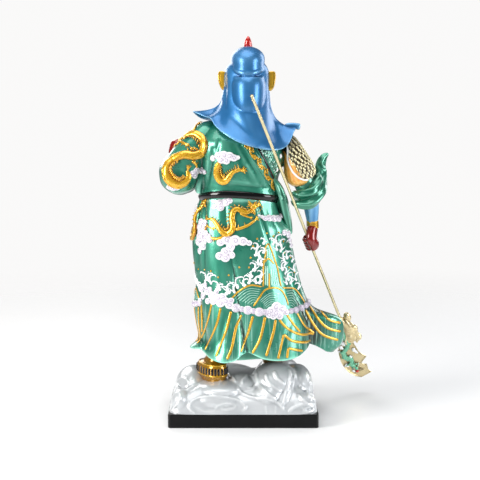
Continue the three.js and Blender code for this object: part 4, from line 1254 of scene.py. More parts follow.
makeFist("rightFist", *fistSet["right"])
makeFist("leftFist", *fistSet["left"])

# the arms' coverings
armSet = {
    "guard": [(-54, 2, 357), (-59, 5, 347), (-67.5, 8, 331), (-77, 9, 314), (-82, 9, 303)],
    "guardWidth": through([[0, 5], [0.25, 11], [0.6, 14.5], [0.85, 14], [1, 9]]),
    "guardDepth": through([[0, 7], [0.3, 18], [0.7, 22], [1, 17]]),
    "lining": [(-54, 4, 356), (-64, 7, 332), (-70, 8, 312), (-75, 9, 293)],
    "liningWidth": through([[0, 7], [0.4, 14], [0.75, 17.5], [1, 10]]),
    "liningDepth": through([[0, 10], [0.5, 20], [1, 16]]),
    "rolls": [  # places, half width and half depth
        ([(-62, 10, 276), (-70, 20, 272), (-85, 21, 273), (-96, 12, 286), (-99, -2, 302), (-99, -7, 316),
          (-103, -8, 328), (-110, -8, 334)], 10, 8.5),
        ([(-63, 12, 287), (-72, 21, 284), (-86, 21, 288), (-95, 13, 300), (-97, 4, 310)], 8, 7),
        ([(-64, 2, 284), (-70, -14, 280), (-85, -18, 280), (-96, -9, 292), (-98, 2, 308)], 11, 8)],
    "rows": 21, "pitch": 6.8,
    "rim": [(-54, 352), (-57.4, 341), (-57.8, 328), (-61.5, 316), (-70, 306), (-80, 302.5), (-89, 307)],
    "beyondRim": [(-110, 320), (-110, 380), (-54, 380)],
    "rightArm": [(-80, 6, 292), (-87, 4, 272), (-89.5, 0, 250), (-90, -2, 238)],
    "rightArmSize": through([[0, 12], [0.3, 10.8], [0.75, 7], [1, 6.4]]),
    "leftArm": [(78, -20, 312), (80, -42, 320), (83, -60, 331)],
    "cuffs": [([(-89.6, -0.5, 250), (-90, -1.6, 239)], (0, 1, 0)),
              ([(81.6, -51, 325.4), (82.7, -57.5, 329.4)], (1, 0, 0))],
}


def layScales(mesh, path, frames):
    # rows of overlapping scales round the guard, each row half a scale on from the last
    a = armSet
    for row in range(a["rows"]):
        t = 0.06 + 0.9 * row / (a["rows"] - 1)
        i = round(t * (len(path) - 1))
        (centre, across, out), along = frames[i], wayAt(path, i)
        width, depth = a["guardWidth"](t) - 0.7, a["guardDepth"](t) - 0.7
        if t > 0.93:
            width, depth = width * 0.86, depth * 0.86
        around = 2 * pi * math.sqrt((width ** 2 + depth ** 2) / 2)
        number = round(around / a["pitch"])
        size, tone = 0.7 if t < 0.3 else 1.0, 0.25 if t < 0.42 else None
        for k in range(number):
            angle = 2 * pi * (k + 0.5 * (row % 2)) / number
            spot = centre + across * math.cos(angle) * width + out * math.sin(angle) * depth
            way = (across * math.cos(angle) / width + out * math.sin(angle) / depth).normalized()
            way = (way - along * 0.06).normalized()
            if insideShape(spot.x, spot.z, a["rim"] + a["beyondRim"]):
                ball(mesh, spot + way * 0.15, (1.45 * size, 2.7, 1.15), way, (10, 6), tone, along)


def makeArms():
    a = armSet
    lining, guard, scales, trim, cloth, arm, cuffs = (newMesh() for _ in range(7))
    bar(lining, a["lining"], 50, lambda t: (a["liningWidth"](t), a["liningDepth"](t)), sides=60, ends=0.1,
        flutes=(18, 0.03, 0.06))
    liningTree = BVHTree.FromBMesh(lining)
    finishPiece("guardLining", lining, "lining", crests=(10, 0.9))
    path = smoothPath(a["guard"], 60)
    frames = rod(guard, path, lambda t: (a["guardWidth"](t) - 0.9, a["guardDepth"](t) - 0.9), sides=56,
                 ends=0.06)
    tree = BVHTree.FromBMesh(guard)
    finishPiece("guardBody", guard, "recess", crests=(10, 0.5))
    layScales(scales, path, frames)
    finishPiece("guardScales", scales, "scale")
    for view in ("back", "front"):
        inlay(trim, [tree, liningTree], a["rim"], view, (1.3, 1.3), 60, 0.9, sides=12, ends=0.04)
    finishPiece("guardRim", trim, "trim")
    for row in a["rolls"]:
        lock(cloth, *row, steps=60, sides=36, facing=(0, 0, 1), flutes=(5, 0.14, 0.35))
    finishPiece("rolledSleeve", castTogether(cloth, 0.75, 6), "robeDeepGreenAndShade", crests=(20, 0.5))
    bar(arm, a["rightArm"], 40, lambda t: [a["rightArmSize"](t)] * 2, sides=36, flutes=(5, 0.05, 0.2))
    bar(arm, a["leftArm"], 40, lambda t: [11 - 3 * t] * 2, sides=36, facing=(1, 0, 0), flutes=(5, 0.05, 0.2))
    finishPiece("forearms", arm, "hood", crests=(10, 0.6))
    for places, facing in a["cuffs"]:
        bar(cuffs, places, 16, lambda t: [7.4 + 0.8 * abs(2 * t - 1) ** 4 + 0.35 * math.sin(pi * t)] * 2,
            sides=40, facing=facing, ends=0.07)
    finishPiece("cuffs", cuffs, "line", crests=(8, 0.8))


makeArms()
print("arms ready")

# boots
bootSet = {
    "length": 52, "width": 28, "square": 0.85,
    "stances": [((27, 43), 24, 49.5), ((-36, -10), -18, 60)],  # heel, way the toes turn, level of the sole
    # rise, length, width and shift of its rings from the sole up, as shares apart from the rise
    "rings": [(0, 0.95, 0.95, 0), (0.5, 0.97, 0.98, 0), (1.2, 0.98, 1.0, 0), (4.4, 1.03, 1.08, 0),
              (7.6, 1.1, 1.2, 0), (8.4, 1.1, 1.2, 0), (9.0, 1.05, 1.14, 0), (11, 1.06, 1.16, 0),
              (18, 1.04, 1.14, 0.0), (22, 0.9, 1.0, -0.04), (26, 0.6, 0.74, -0.08), (34, 0.46, 0.62, -0.12),
              (60, 0.46, 0.66, -0.12)],
    "panels": 28, "panelRises": [(9.4, 6.6), (14.0, 7.4), (18.6, 8.0)],  # rise and the ring it lies near
    "welts": [(5.6, 0.8), (8.9, 1.0)],  # ring and thickness
}


def bootSpot(stance, turn, rise, long, wide, shift):
    (hx, hy), yaw, sole = stance
    fx, fy = compass(180 + yaw)
    along = bootSet["length"] * (0.5 + shift)
    along += bootSet["length"] * 0.5 * long * power(math.cos(turn), bootSet["square"])
    across = bootSet["width"] * 0.5 * wide * power(math.sin(turn), bootSet["square"])
    return Vector((hx + fx * along + fy * across, hy + fy * along - fx * across, sole + rise))


def makeBoots():
    b, gold, panels = bootSet, newMesh(), newMesh()
    rings = columns(b["rings"])
    for stance in b["stances"]:
        cappedShell(gold, 96, 90, lambda turn, share: bootSpot(
            stance, math.radians(turn), *rings(share * (len(b["rings"]) - 1))))
        # black panels round the foot, between gold ribs
        for k in range(b["panels"]):
            turn = 2 * pi * (k + 0.5) / b["panels"]
            spots = [bootSpot(stance, turn, rise, *rings(ring)[1:]) for rise, ring in b["panelRises"]]
            out = Vector((*(spots[1] - bootSpot(stance, turn, 14, 0.5, 0.5, 0)).xy, 0)).normalized()
            up = (spots[2] - spots[0]).normalized()
            out = (out - up * out.dot(up)).normalized()
            bar(panels, spots, 8, (1.65, 0.9), outs=[out] * 9, ends=0.12, tone=0.3)
        for ring, thick in b["welts"]:
            welt = [bootSpot(stance, 2 * pi * k / 60, *rings(ring)) for k in range(61)]
            rod(gold, welt, (thick, thick), sides=10, facing=(0, 0, 1), ends=0.01)
    finishPiece("boots", gold, "line", crests=(10, 0.7))
    finishPiece("bootPanels", panels, "black")


makeBoots()
print("boots ready")

# the cloud base and plinth
baseSet = {
    "half": (92.6, 73.6), "height": 34, "corner": 0.2, "floor": 17, "foot": 11,
    "shrink": through([[0, 1], [0.14, 1], [0.25, 0.988], [0.45, 0.95], [0.62, 0.89], [0.79, 0.8],
                       [0.91, 0.68], [1, 0.52]]),
    "mounds": [((-40, 26, 22), (34, 35, 34)), ((-46, -34, 26), (30, 36, 24)), ((-70, 4, 22), (19, 42, 25)),
               ((2, 30, 24), (22, 27, 17)), ((27, 40, 25), (31, 29, 10)), ((64, 2, 20), (23, 44, 25)),
               ((20, -50, 20), (40, 19, 17)), ((31, 56, 13), (34, 16.5, 13)), ((-30, 54, 16), (20, 16, 16)),
               ((-72, 56, 10), (19, 16, 13)), ((78, 54, 12), (12, 17, 15))],  # place above the plinth, radii
    # lines of the back: places, half width and height
    "lines": [([(58, 18), (63.8, 22), (66.7, 27), (62.4, 33), (51, 37), (37, 38.5), (21.8, 37), (7, 34),
                (-1.7, 28), (-3.1, 24), (4, 21)], 1.3, 1.1),
              ([(34.8, 24), (30.3, 29), (18.7, 31), (9.9, 28), (11.4, 25), (21.6, 23), (28.2, 25)], 1.0,
               0.8), ([(59.9, 26), (49.2, 22), (40.8, 21), (33.2, 22)], 0.9, 0.7),
              ([(7, 49), (4.1, 42), (-4.5, 38), (-14.8, 36), (-27.8, 36.5), (-38.1, 33), (-45.3, 29),
                (-50.4, 22)], 1.6, 1.4),
              ([(1.2, 49), (1.2, 54), (-6, 57), (-13.3, 55), (-16.2, 50), (-11.9, 45), (-4.8, 46)], 1.6,
               1.2),
              ([(-16.2, 62), (-16.8, 56), (-19.1, 50), (-27.8, 43), (-36.5, 37), (-41, 35)], 2.4, 1.7),
              ([(-27.8, 63), (-28.9, 57), (-33.7, 51), (-42.4, 45), (-46.6, 42)], 2.2, 1.6),
              ([(-38.1, 66), (-42.4, 58), (-51.2, 51)], 2.0, 1.5),
              ([(-57, 67), (-58.4, 58), (-55.5, 48), (-51.2, 37), (-49, 27)], 2.0, 1.6),
              ([(-63.1, 58), (-61.3, 48), (-55.5, 37), (-51.9, 30)], 1.6, 1.3),
              ([(-67.1, 40), (-74.5, 33), (-83.1, 27), (-90, 22)], 1.8, 1.3),
              ([(-70, 47), (-78.8, 40), (-85, 33)], 1.6, 1.2),
              ([(-54.1, 19), (-59.9, 24), (-70, 29), (-81.7, 30), (-88, 26), (-88.4, 21.5), (-82, 20),
                (-75.7, 21), (-75.1, 24), (-80.2, 25.5), (-82.5, 23)], 1.4, 1.2),
              ([(89, 19), (85.6, 24), (80.7, 31), (78, 37), (79, 42)], 1.2, 1.0),
              ([(82.3, 42), (83, 47), (77.6, 52), (70, 51), (69.7, 46), (75.1, 44)], 1.3, 1.1),
              ([(-27.8, 27), (-28.6, 18.5)], 0.8, 0.6),
              ([(-39.5, 27), (-40.3, 22), (-39.5, 18.5)], 0.8, 0.6),
              ([(8, 52), (16, 56), (26, 54), (30, 50)], 1.6, 1.2)],
    # curls of the other sides: view, middle, level, size, way round
    "curls": [("front", -52, 34, 15, 1), ("front", 2, 36, 15, -1), ("front", 54, 34, 16, 1),
              ("front", -24, 24, 8, -1), ("front", 28, 23, 8, 1), ("round", -116, 35, 15, 1),
              ("round", -72, 34, 14, -1), ("round", 72, 35, 14, 1), ("round", 112, 34, 15, -1)],
    "plinth": (186, 148, 17), "corners": (4, 8), "edges": (1, 4),  # each an offset and its segments
}


def bankPoint(turn, share):
    ripple = 1 - 0.03 * ease(0.5, 1, share) * (1 + math.cos(math.radians(turn * 9)))
    dx, dy = (power(c, baseSet["corner"]) * baseSet["shrink"](share) * ripple for c in compass(turn))
    wide, deep = baseSet["half"]
    return Vector((dx * wide, dy * deep, blend(baseSet["foot"], baseSet["floor"] + baseSet["height"], share)))


def makeCloudBase():
    b, floor, mesh = baseSet, baseSet["floor"], newMesh()
    cappedShell(mesh, 200, 50, bankPoint)
    for (x, y, level), radii in b["mounds"]:
        ball(mesh, (x, y, floor + level), radii, grid=(48, 32))
    whole = castTogether(mesh, 1.3, 8)
    tree = BVHTree.FromBMesh(whole)
    for places, width, height in b["lines"]:
        inlay(whole, [tree], places, "back", lambda t: (width * (1.3 - 0.3 * t), height * 1.3), 40, sides=12,
              ends=0.12)
    for view, middle, level, size, hand in b["curls"]:
        wide, turns = perMillimetre(view, 85), spiral(middle, level, size, -60, hand, 1.2, 0.12)
        places = [(middle + (a - middle) * wide, max(z, floor + 2)) for a, z in turns]
        inlay(whole, [tree], places, view, lambda t: (1.9 - 0.8 * t, 1.5 - 0.6 * t), 50, sides=12, ends=0.08)
    # the carving is cast in one with the bank, whose foot stays flat on the plinth
    whole = castTogether(whole, 1.1, 2)
    everything = whole.verts[:] + whole.edges[:] + whole.faces[:]
    cut = bmesh.ops.bisect_plane(whole, geom=everything, plane_co=(0, 0, floor), plane_no=(0, 0, 1),
                                 clear_inner=True)
    bmesh.ops.holes_fill(whole, edges=[e for e in cut["geom_cut"] if isinstance(e, bmesh.types.BMEdge)])
    finishPiece("cloudBase", whole, "silver", "cloud_base", "cloud_silver", 0, crests=(14, 0.5))


def makePlinth():
    mesh, size = newMesh(), baseSet["plinth"]
    block = Matrix.Translation((0, 0, size[2] / 2)) @ Matrix.Diagonal((*size, 1))
    bmesh.ops.create_cube(mesh, size=1, matrix=block, calc_uvs=True)

    def rise(edge):
        return abs(edge.verts[0].co.z - edge.verts[1].co.z)

    def roundOff(edges, offset, segments):
        bmesh.ops.bevel(mesh, geom=edges, offset=offset, segments=segments, profile=0.5, affect="EDGES",
                        material=-1)

    roundOff([e for e in mesh.edges if rise(e) > 1], *baseSet["corners"])
    sharp = [e for e in mesh.edges if e.is_manifold and e.calc_face_angle(0) > 1.0]
    roundOff([e for e in sharp if rise(e) < 0.01], *baseSet["edges"])
    for vert in mesh.verts:
        vert[mesh.verts.layers.float["crest"]] = 0.5
    finishPiece("plinth", mesh, "plinth", "plinth", "plinth_black", 0, flatOver=0.0004)


makeCloudBase()
makePlinth()
print("base ready")

# the glaive, in a frame of its own: X down the shaft to the blade, Y to its blunt edge, Z to the camera
glaiveSet = {
    "radius": 1.8, "above": 229, "blade": 125, "socket": 9, "gap": 0.3, "thickness": 2.4,
    "rings": (-228, -222, -30, 22, 110),
    # corners and curves round the blade; a curve is its two handles, its end and its number of steps
    "outline": [(33, -8), ((42, -17), (54, -20.5), (70, -20.5), 16), ((84, -20), (100, -15), (107, -2), 16),
                (104.5, 13.5), ((102, 11.5), (98, 8.5), (96, 10.5), 6), (90, 11),
                ((88.5, 7), (86, 5), (83, 5), 6), (76.5, 14), ((73, 12.5), (69, 8), (64, 7), 6), (34, 3)],
    "rim": 1.5, "rimShare": 0.22, "groove": (0.5, -0.25),
    "neck": [(0.2, 0, 0), (7, 1, 0), (16, 5, 0), (26, 6, 0), (36, 4, 0), (44, 0, 0)],
    "neckWidth": through([[0, 3.4], [0.2, 4.2], [0.45, 8], [0.7, 8.5], [1, 6]]),
    "neckDepth": through([[0, 3.4], [0.2, 4.2], [0.5, 6], [1, 3.4]]),
    "lumps": [((3, 9.5, 0), (8, 5, 4.4)), ((25, 13, 0), (6, 4.5, 4)), ((40, 13.5, 0), (6.5, 5, 4)),
              ((31, 4, 3), (4, 3.4, 3.6)), ((31, 4, -3), (4, 3.4, 3.6)), ((18, 8, 3.4), (3, 3, 3)),
              ((18, 8, -3.4), (3, 3, 3)), ((38, 8, 2.6), (3.4, 2.6, 2.4)), ((38, 8, -2.6), (3.4, 2.6, 2.4))],
    "crown": [(8, 8, 0), (22, 10, 0), (36, 12, 0), (50, 9, 0)],
    "dragon": [(20, -1), (30, -4), (41, -3), (50, -6), (55, -12.5), (65, -13), (72, -6.5), (80, -9),
               (87, -4)],
    "dragonSize": through([[0, 2.2], [0.2, 3.2], [0.7, 3.3], [1, 2.2]]),
    "fin": [(1.6, 0), (3.6, 0.8), (4.6, 2.2)],  # distances outwards and back towards the tail
    # a leg's place and reach, and each cloud's and the pearl's place and size
    "legs": [(46, -4, -4, 7), (58, -12, -6, -5), (62, -13, 5, 7), (78, -8, 4, 7), (76, -8, 2, -8)],
    "clouds": [(41, -9, 3.0), (46, -13.5, 2.6), (57.5, 1.2, 2.8), (62, 3.2, 2.2), (78, -15, 2.4),
               (66, -6, 1.8), (91.2, -9.4, 1.9)],
    "pearl": (94, -4.7, 2.3),
}


def glaiveFrame(along=0):
    axis = Vector(fistSet["right"][1]).normalized()
    face = (Vector((0, 1, 0)) - axis * axis.y).normalized()
    turned = Matrix((axis, face.cross(axis), face)).transposed().to_4x4()
    return Matrix.Translation(fistSet["grip"]) @ turned @ Matrix.Translation((along, 0, 0))


def finishGlaive(name, mesh, look, along, node="glaive_blade", slot="blade_gold", **more):
    bmesh.ops.transform(mesh, matrix=glaiveFrame(along), verts=mesh.verts)
    finishPiece(name, mesh, look, node, slot, **more)


def bezier(points, steps):
    a, b, c, d = (Vector((*p, 0)) for p in points)
    shares = [k / steps for k in range(1, steps + 1)]
    return [a * (1 - t) ** 3 + b * 3 * t * (1 - t) ** 2 + c * 3 * t * t * (1 - t) + d * t ** 3
            for t in shares]


def makeShaft():
    g, mesh, r = glaiveSet, newMesh(), glaiveSet["radius"]
    end = g["blade"] + g["socket"] - g["gap"]
    line = [Vector((blend(-g["above"], end, k / 90), 0, 0)) for k in range(91)]
    rod(mesh, line, (r, r), sides=24, facing=(0, 0, 1), ends=0.004)
    for x in g["rings"]:  # turned rings
        path = [Vector((x + k * 0.25, 0, 0)) for k in range(9)]
        rod(mesh, path, (r + 0.22, r + 0.22), sides=24, facing=(0, 0, 1), ends=0.3)
    finishGlaive("glaiveShaft", mesh, "pole", 0, "glaive_shaft", "shaft_gold")


def makeBlade():
    g, mesh, outline = glaiveSet, newMesh(), []
    for part in g["outline"]:
        if len(part) == 2:
            outline.append(Vector((*part, 0)))
        else:
            outline += bezier([outline[-1].xy, *part[:3]], part[3])
    thick = g["thickness"] / 2
    face = mesh.faces.new([mesh.verts.new(p) for p in outline])
    bmesh.ops.translate(mesh, vec=(0, 0, -thick), verts=mesh.verts)
    raised = bmesh.ops.extrude_face_region(mesh, geom=[face])["geom"]
    corners = [thing for thing in raised if isinstance(thing, bmesh.types.BMVert)]
    bmesh.ops.translate(mesh, vec=(0, 0, 2 * thick), verts=corners)
    rim = list(mesh.verts)

    def sides():
        return [f for f in mesh.faces if len(f.verts) > 8]

    bmesh.ops.inset_region(mesh, faces=sides(), thickness=g["rim"], use_even_offset=True)
    for vert in rim:
        vert.co.z *= g["rimShare"]
    width, depth = g["groove"]
    bmesh.ops.inset_region(mesh, faces=sides(), thickness=width, depth=depth, use_even_offset=True)
    for vert in mesh.verts:
        vert[mesh.verts.layers.float["crest"]] = 0.55
    finishGlaive("bladePlate", mesh, "pale", g["blade"], flatOver=0.0)


def makeSocketDragon():
    g, head, facing = glaiveSet, newMesh(), (0, 0, 1)
    bar(head, g["neck"], 40, lambda t: (g["neckWidth"](t), g["neckDepth"](t)), sides=36, facing=facing,
        ends=0.02)
    for spot, radii in g["lumps"]:
        ball(head, spot, radii, grid=(28, 16))
    lock(head, g["crown"], 5, 4, sides=28, facing=facing, flutes=(5, 0.2, 0.2))
    for k in range(6):  # mane that sweeps back over the socket
        z = -4 + 8 * k / 5
        hair = [(26, 8 + 2 * math.sin(k), z), (14, 8.5, z * 1.2), (4, 5.5 + 1.4 * math.cos(k), z * 1.1)]
        lock(head, hair, 1.5, 1.5, steps=20, sides=10, facing=facing)
    for side in (1, -1):  # open jaw and eyes
        jaw = [(30, -1, side * 3), (40, -5, side * 2.6), (47, -3, side * 1.2)]
        lock(head, jaw, 1.6, 1.6, steps=16, sides=10, facing=facing)
        ball(head, (27, 9, side * 4.2), (1.8, 1.8, 1.4))
    finishGlaive("socketDragon", castTogether(head, 0.55, 2), "pale", g["blade"], crests=(14, 1.0))


def makeBladeDragon():
    g, size = glaiveSet, glaiveSet["dragonSize"]
    green, white, red = newMesh(), newMesh(), newMesh()
    for face in (1, -1):
        out = Vector((0, 0, face))
        path = smoothPath([(x, y, face * 1.3) for x, y in g["dragon"]], 70)
        rod(green, path, lambda t: (size(t), size(t) * 0.62), sides=16, facing=out, ends=0.05)
        for i in range(4, 68, 3):  # fins on both sides in turn
            along = wayAt(path, i)
            away = along.cross(Vector((0, 0, 1))) * (1 if i % 2 else -1)
            fin = [path[i] + away * reach - along * back for reach, back in g["fin"]]
            bar(green, fin, 6, lambda t: (1.1 * (1 - 0.7 * t), 0.9), sides=6, facing=out, ends=0.2)
        for x, y, dx, dy in g["legs"]:
            leg = smoothPath([(x, y, face * 1.6), (x + dx * 0.6, y + dy * 0.6, face * 2.2),
                              (x + dx, y + dy, face * 1.4)], 12)
            rod(green, leg, lambda t: (1.5 - 0.5 * t, 1.3), facing=out, ends=0.15)
            for k in (-1, 0, 1):
                turn = math.atan2(dy, dx) + 0.6 * k
                tip = leg[-1] + Vector((math.cos(turn) * 2.8, math.sin(turn) * 2.8, -0.2 * face))
                claw = [leg[-1], (leg[-1] + tip) / 2 + out * 0.5, tip]
                bar(white, claw, 6, lambda t: (0.55 * (1 - 0.5 * t), 0.6), sides=6, facing=out, ends=0.2)
        ball(green, (88, -4, face * 1.8), (3.6, 2.8, 1.9), grid=(18, 10))
        for side in (-1, 1):
            horn = [(88, -4 + side, face * 2.2), (84, -4 + side * 3, face * 2.6),
                    (80, -4 + side * 5, face * 1.8)]
            lock(green, horn, 0.8, 0.8, steps=12, sides=6, facing=out)
        for x, y, r in g["clouds"]:
            ball(white, (x, y, face * 1.1), (r * 1.2, r, 1.5))
            ball(white, (x + r, y + r * 0.5, face * 1.1), (r * 0.7, r * 0.7, 1.2), grid=(12, 6))
        x, y, r = g["pearl"]
        ball(red, (x, y, face * 1.6), (r, r, 1.6), grid=(18, 10))
    finishGlaive("bladeDragon", green, "bladeGreen", g["blade"])
    finishGlaive("bladeClouds", white, "foam", g["blade"])
    finishGlaive("bladePearls", red, "red", g["blade"])


makeShaft()
makeBlade()
makeSocketDragon()
makeBladeDragon()
print("glaive ready")

# ornaments laid on the cloth
def surfaceFrame(trees, a, z, heading, view):
    # a place on the cloth with its out, forward and side ways; heading in degrees, 0 towards growing a, 90 up
    spot, out = castOnto(trees, a, z, view)
    sideways = Vector((*compass(a + 90), 0)) if view == "round" else Vector((1, 0, 0))
    angle = math.radians(heading)
    ahead = sideways * math.cos(angle) + Vector((0, 0, 1)) * math.sin(angle)
    ahead = (ahead - out * ahead.dot(out)).normalized()
    return spot, out, ahead, ahead.cross(out)


def strand(mesh, frameNow, points, width, steps=10, taper=0.7, scale=1):
    # a tapered bar through points given as ahead, side and out distances from a place
    spot, out, ahead, side = frameNow
    wide = width * scale
    places = [spot + ahead * (p[0] * scale) + side * (p[1] * scale) + out * (p[2] * scale) for p in points]
    bar(mesh, places, steps, lambda t: (wide * (1 - taper * t), wide * (1 - taper * t) * 0.9), sides=6,
        outs=[out] * (steps + 1), ends=0.2)


def dragonHead(mesh, dark, frameNow, s):
    spot, out, ahead, side = frameNow

    def lump(p, radii, grid=(14, 8), onto=mesh, tone=None):
        centre = spot + (ahead * p[0] + side * p[1] + out * p[2]) * s
        ball(onto, centre, [r * s for r in radii], out, grid, tone, ahead)

    def hair(points, width, **more):
        strand(mesh, frameNow, points, width, scale=s, **more)

    lump((0, 0, 0.4), (1.15, 1.45, 0.95))
    lump((1.3, 0, 0.4), (0.8, 1.1, 0.75))
    lump((2.2, 0, 0.6), (0.7, 0.5, 0.6))
    for hand in (-1, 1):
        lump((0.5, hand * 0.55, 1.0), (0.3, 0.42, 0.34), (10, 6))  # brow, eye and nostril
        lump((0.62, hand * 0.6, 1.2), (0.16, 0.18, 0.16), (8, 6), dark, 0.4)
        lump((2.3, hand * 0.35, 0.8), (0.2, 0.2, 0.2), (8, 6))
        # horn, whisker and mane
        hair([(-0.2, hand * 0.5, 1), (-1.4, hand, 1.2), (-2.8, hand * 1.2, 0.9)], 0.3)
        hair([(2, hand * 0.5, 0.6), (2.9, hand * 1.3, 0.6), (1.6, hand * 2.1, 0.5), (0.2, hand * 2.4, 0.4)],
             0.16, steps=16)
        for k in range(4):
            hair([(-0.3, hand * 0.6, 0.4), (-(1.1 - 0.15 * k), hand * (0.9 + 0.4 * k), 0.5),
                  (-(2.1 - 0.35 * k), hand * (1.0 + 0.6 * k), 0.3)], 0.42)
    hair([(0.2, -0.8, 0.2), (1.3, -1.15, 0.2), (2.1, -1, 0.2)], 0.36, taper=0.3)


legSet = {"steps": 16, "toes": 4, "spread": 124, "reach": 2.6, "tufts": (0.2, 0.45)}


def dragonLeg(mesh, trees, places, view, width, heading):
    steps, toes, spread = legSet["steps"], legSet["toes"], legSet["spread"]
    frames = inlay(mesh, trees, places, view, lambda t: (width * (1.15 - 0.5 * t), width * (1.0 - 0.4 * t)),
                   steps, 0.2 * width, sides=10)
    foot = surfaceFrame(trees, *places[-1], heading, view)
    ball(mesh, foot[0] + foot[1] * width * 0.4, (width * 0.95, width * 0.95, width * 0.7), foot[1], (12, 8))
    for k in range(toes):
        turn, reach = math.radians(-spread / 2 + spread * k / (toes - 1)), width * legSet["reach"]
        x, y = math.cos(turn) * reach, math.sin(turn) * reach
        toe = [(0, 0, width * 0.5), (x * 0.55, y * 0.6, width * 0.75), (x, y * 0.85, width * 0.1)]
        strand(mesh, foot, toe, width * 0.42, taper=0.75)
    for share in legSet["tufts"]:  # tufts at the elbow
        centre, across, out = frames[round(share * steps)]
        tuft = [centre, centre - across * width * 1.6,
                centre - across * width * 2.6 + Vector((0, 0, width * 0.6))]
        bar(mesh, tuft, 6, lambda t: (width * 0.4 * (1 - 0.7 * t),) * 2, sides=6, outs=[out] * 7, ends=0.2)


def makeDragon(name, trees, view, plan):
    gold, dark = newMesh(), newMesh()
    steps, size = plan.get("steps", 90), through(plan["size"])
    spots, outs = lay(trees, plan["body"], view, steps, 0.6)
    frames = rod(gold, spots, lambda t: (size(t), size(t) * 0.75), sides=18, outs=outs, ends=0.05)

    def ridge(i):  # the side the fins stand on, which may change over where the body rolls
        return plan.get("ridge", 1) * math.tanh((plan.get("turned", 2) * steps - i) / 4)

    for i in range(3, round(steps * plan.get("finned", 1)) - 2, 3):
        centre, across, out = frames[i]
        along, w = wayAt(spots, i), size(i / steps)
        root = centre + across * ridge(i) * w * 0.7 + out * w * 0.25
        tip = root + across * ridge(i) * w * 1.45 + along * w * 0.7
        fin = [root, (root + tip) / 2 - along * w * 0.1, tip]
        rod(gold, fin, lambda t: (w * 0.38 * (1 - 0.8 * t), w * 0.34 * (1 - 0.8 * t)), sides=6,
            outs=[out] * 3, ends=0.3)
    # the plated belly stands out along the other side
    belly = []
    for i, (centre, across, out) in enumerate(frames):
        belly.append(centre - across * ridge(i) * size(i / steps) * 0.55 + out * size(i / steps) * 0.3)
    rod(gold, belly[2:-2], lambda t: (size(t) * 0.4, size(t) * 0.38 * (1 + 0.25 * math.sin(110 * t))),
        sides=10, outs=outs[2:-2], ends=0.05)
    if "head" in plan:
        *place, s = plan["head"]
        dragonHead(gold, dark, surfaceFrame(trees, *place, view), s)
    for places, width, heading in plan["legs"]:
        dragonLeg(gold, trees, places, view, width, heading)
    if "tail" in plan:
        *place, s = plan["tail"]
        tail = surfaceFrame(trees, *place, view)
        for k in range(-2, 3):
            hair = [(-s, 0, 0.5), (s * 0.8, k * s * 0.35, 0.7),
                    (s * (2.4 - 0.3 * abs(k)), k * s * 0.75 + s * 0.3, 0.3)]
            strand(gold, tail, hair, s * 0.36, taper=0.85)
    finishPiece(name, gold, "gold")
    if dark.verts:
        finishPiece(name + "Eyes", dark, "black")
    else:
        dark.free()


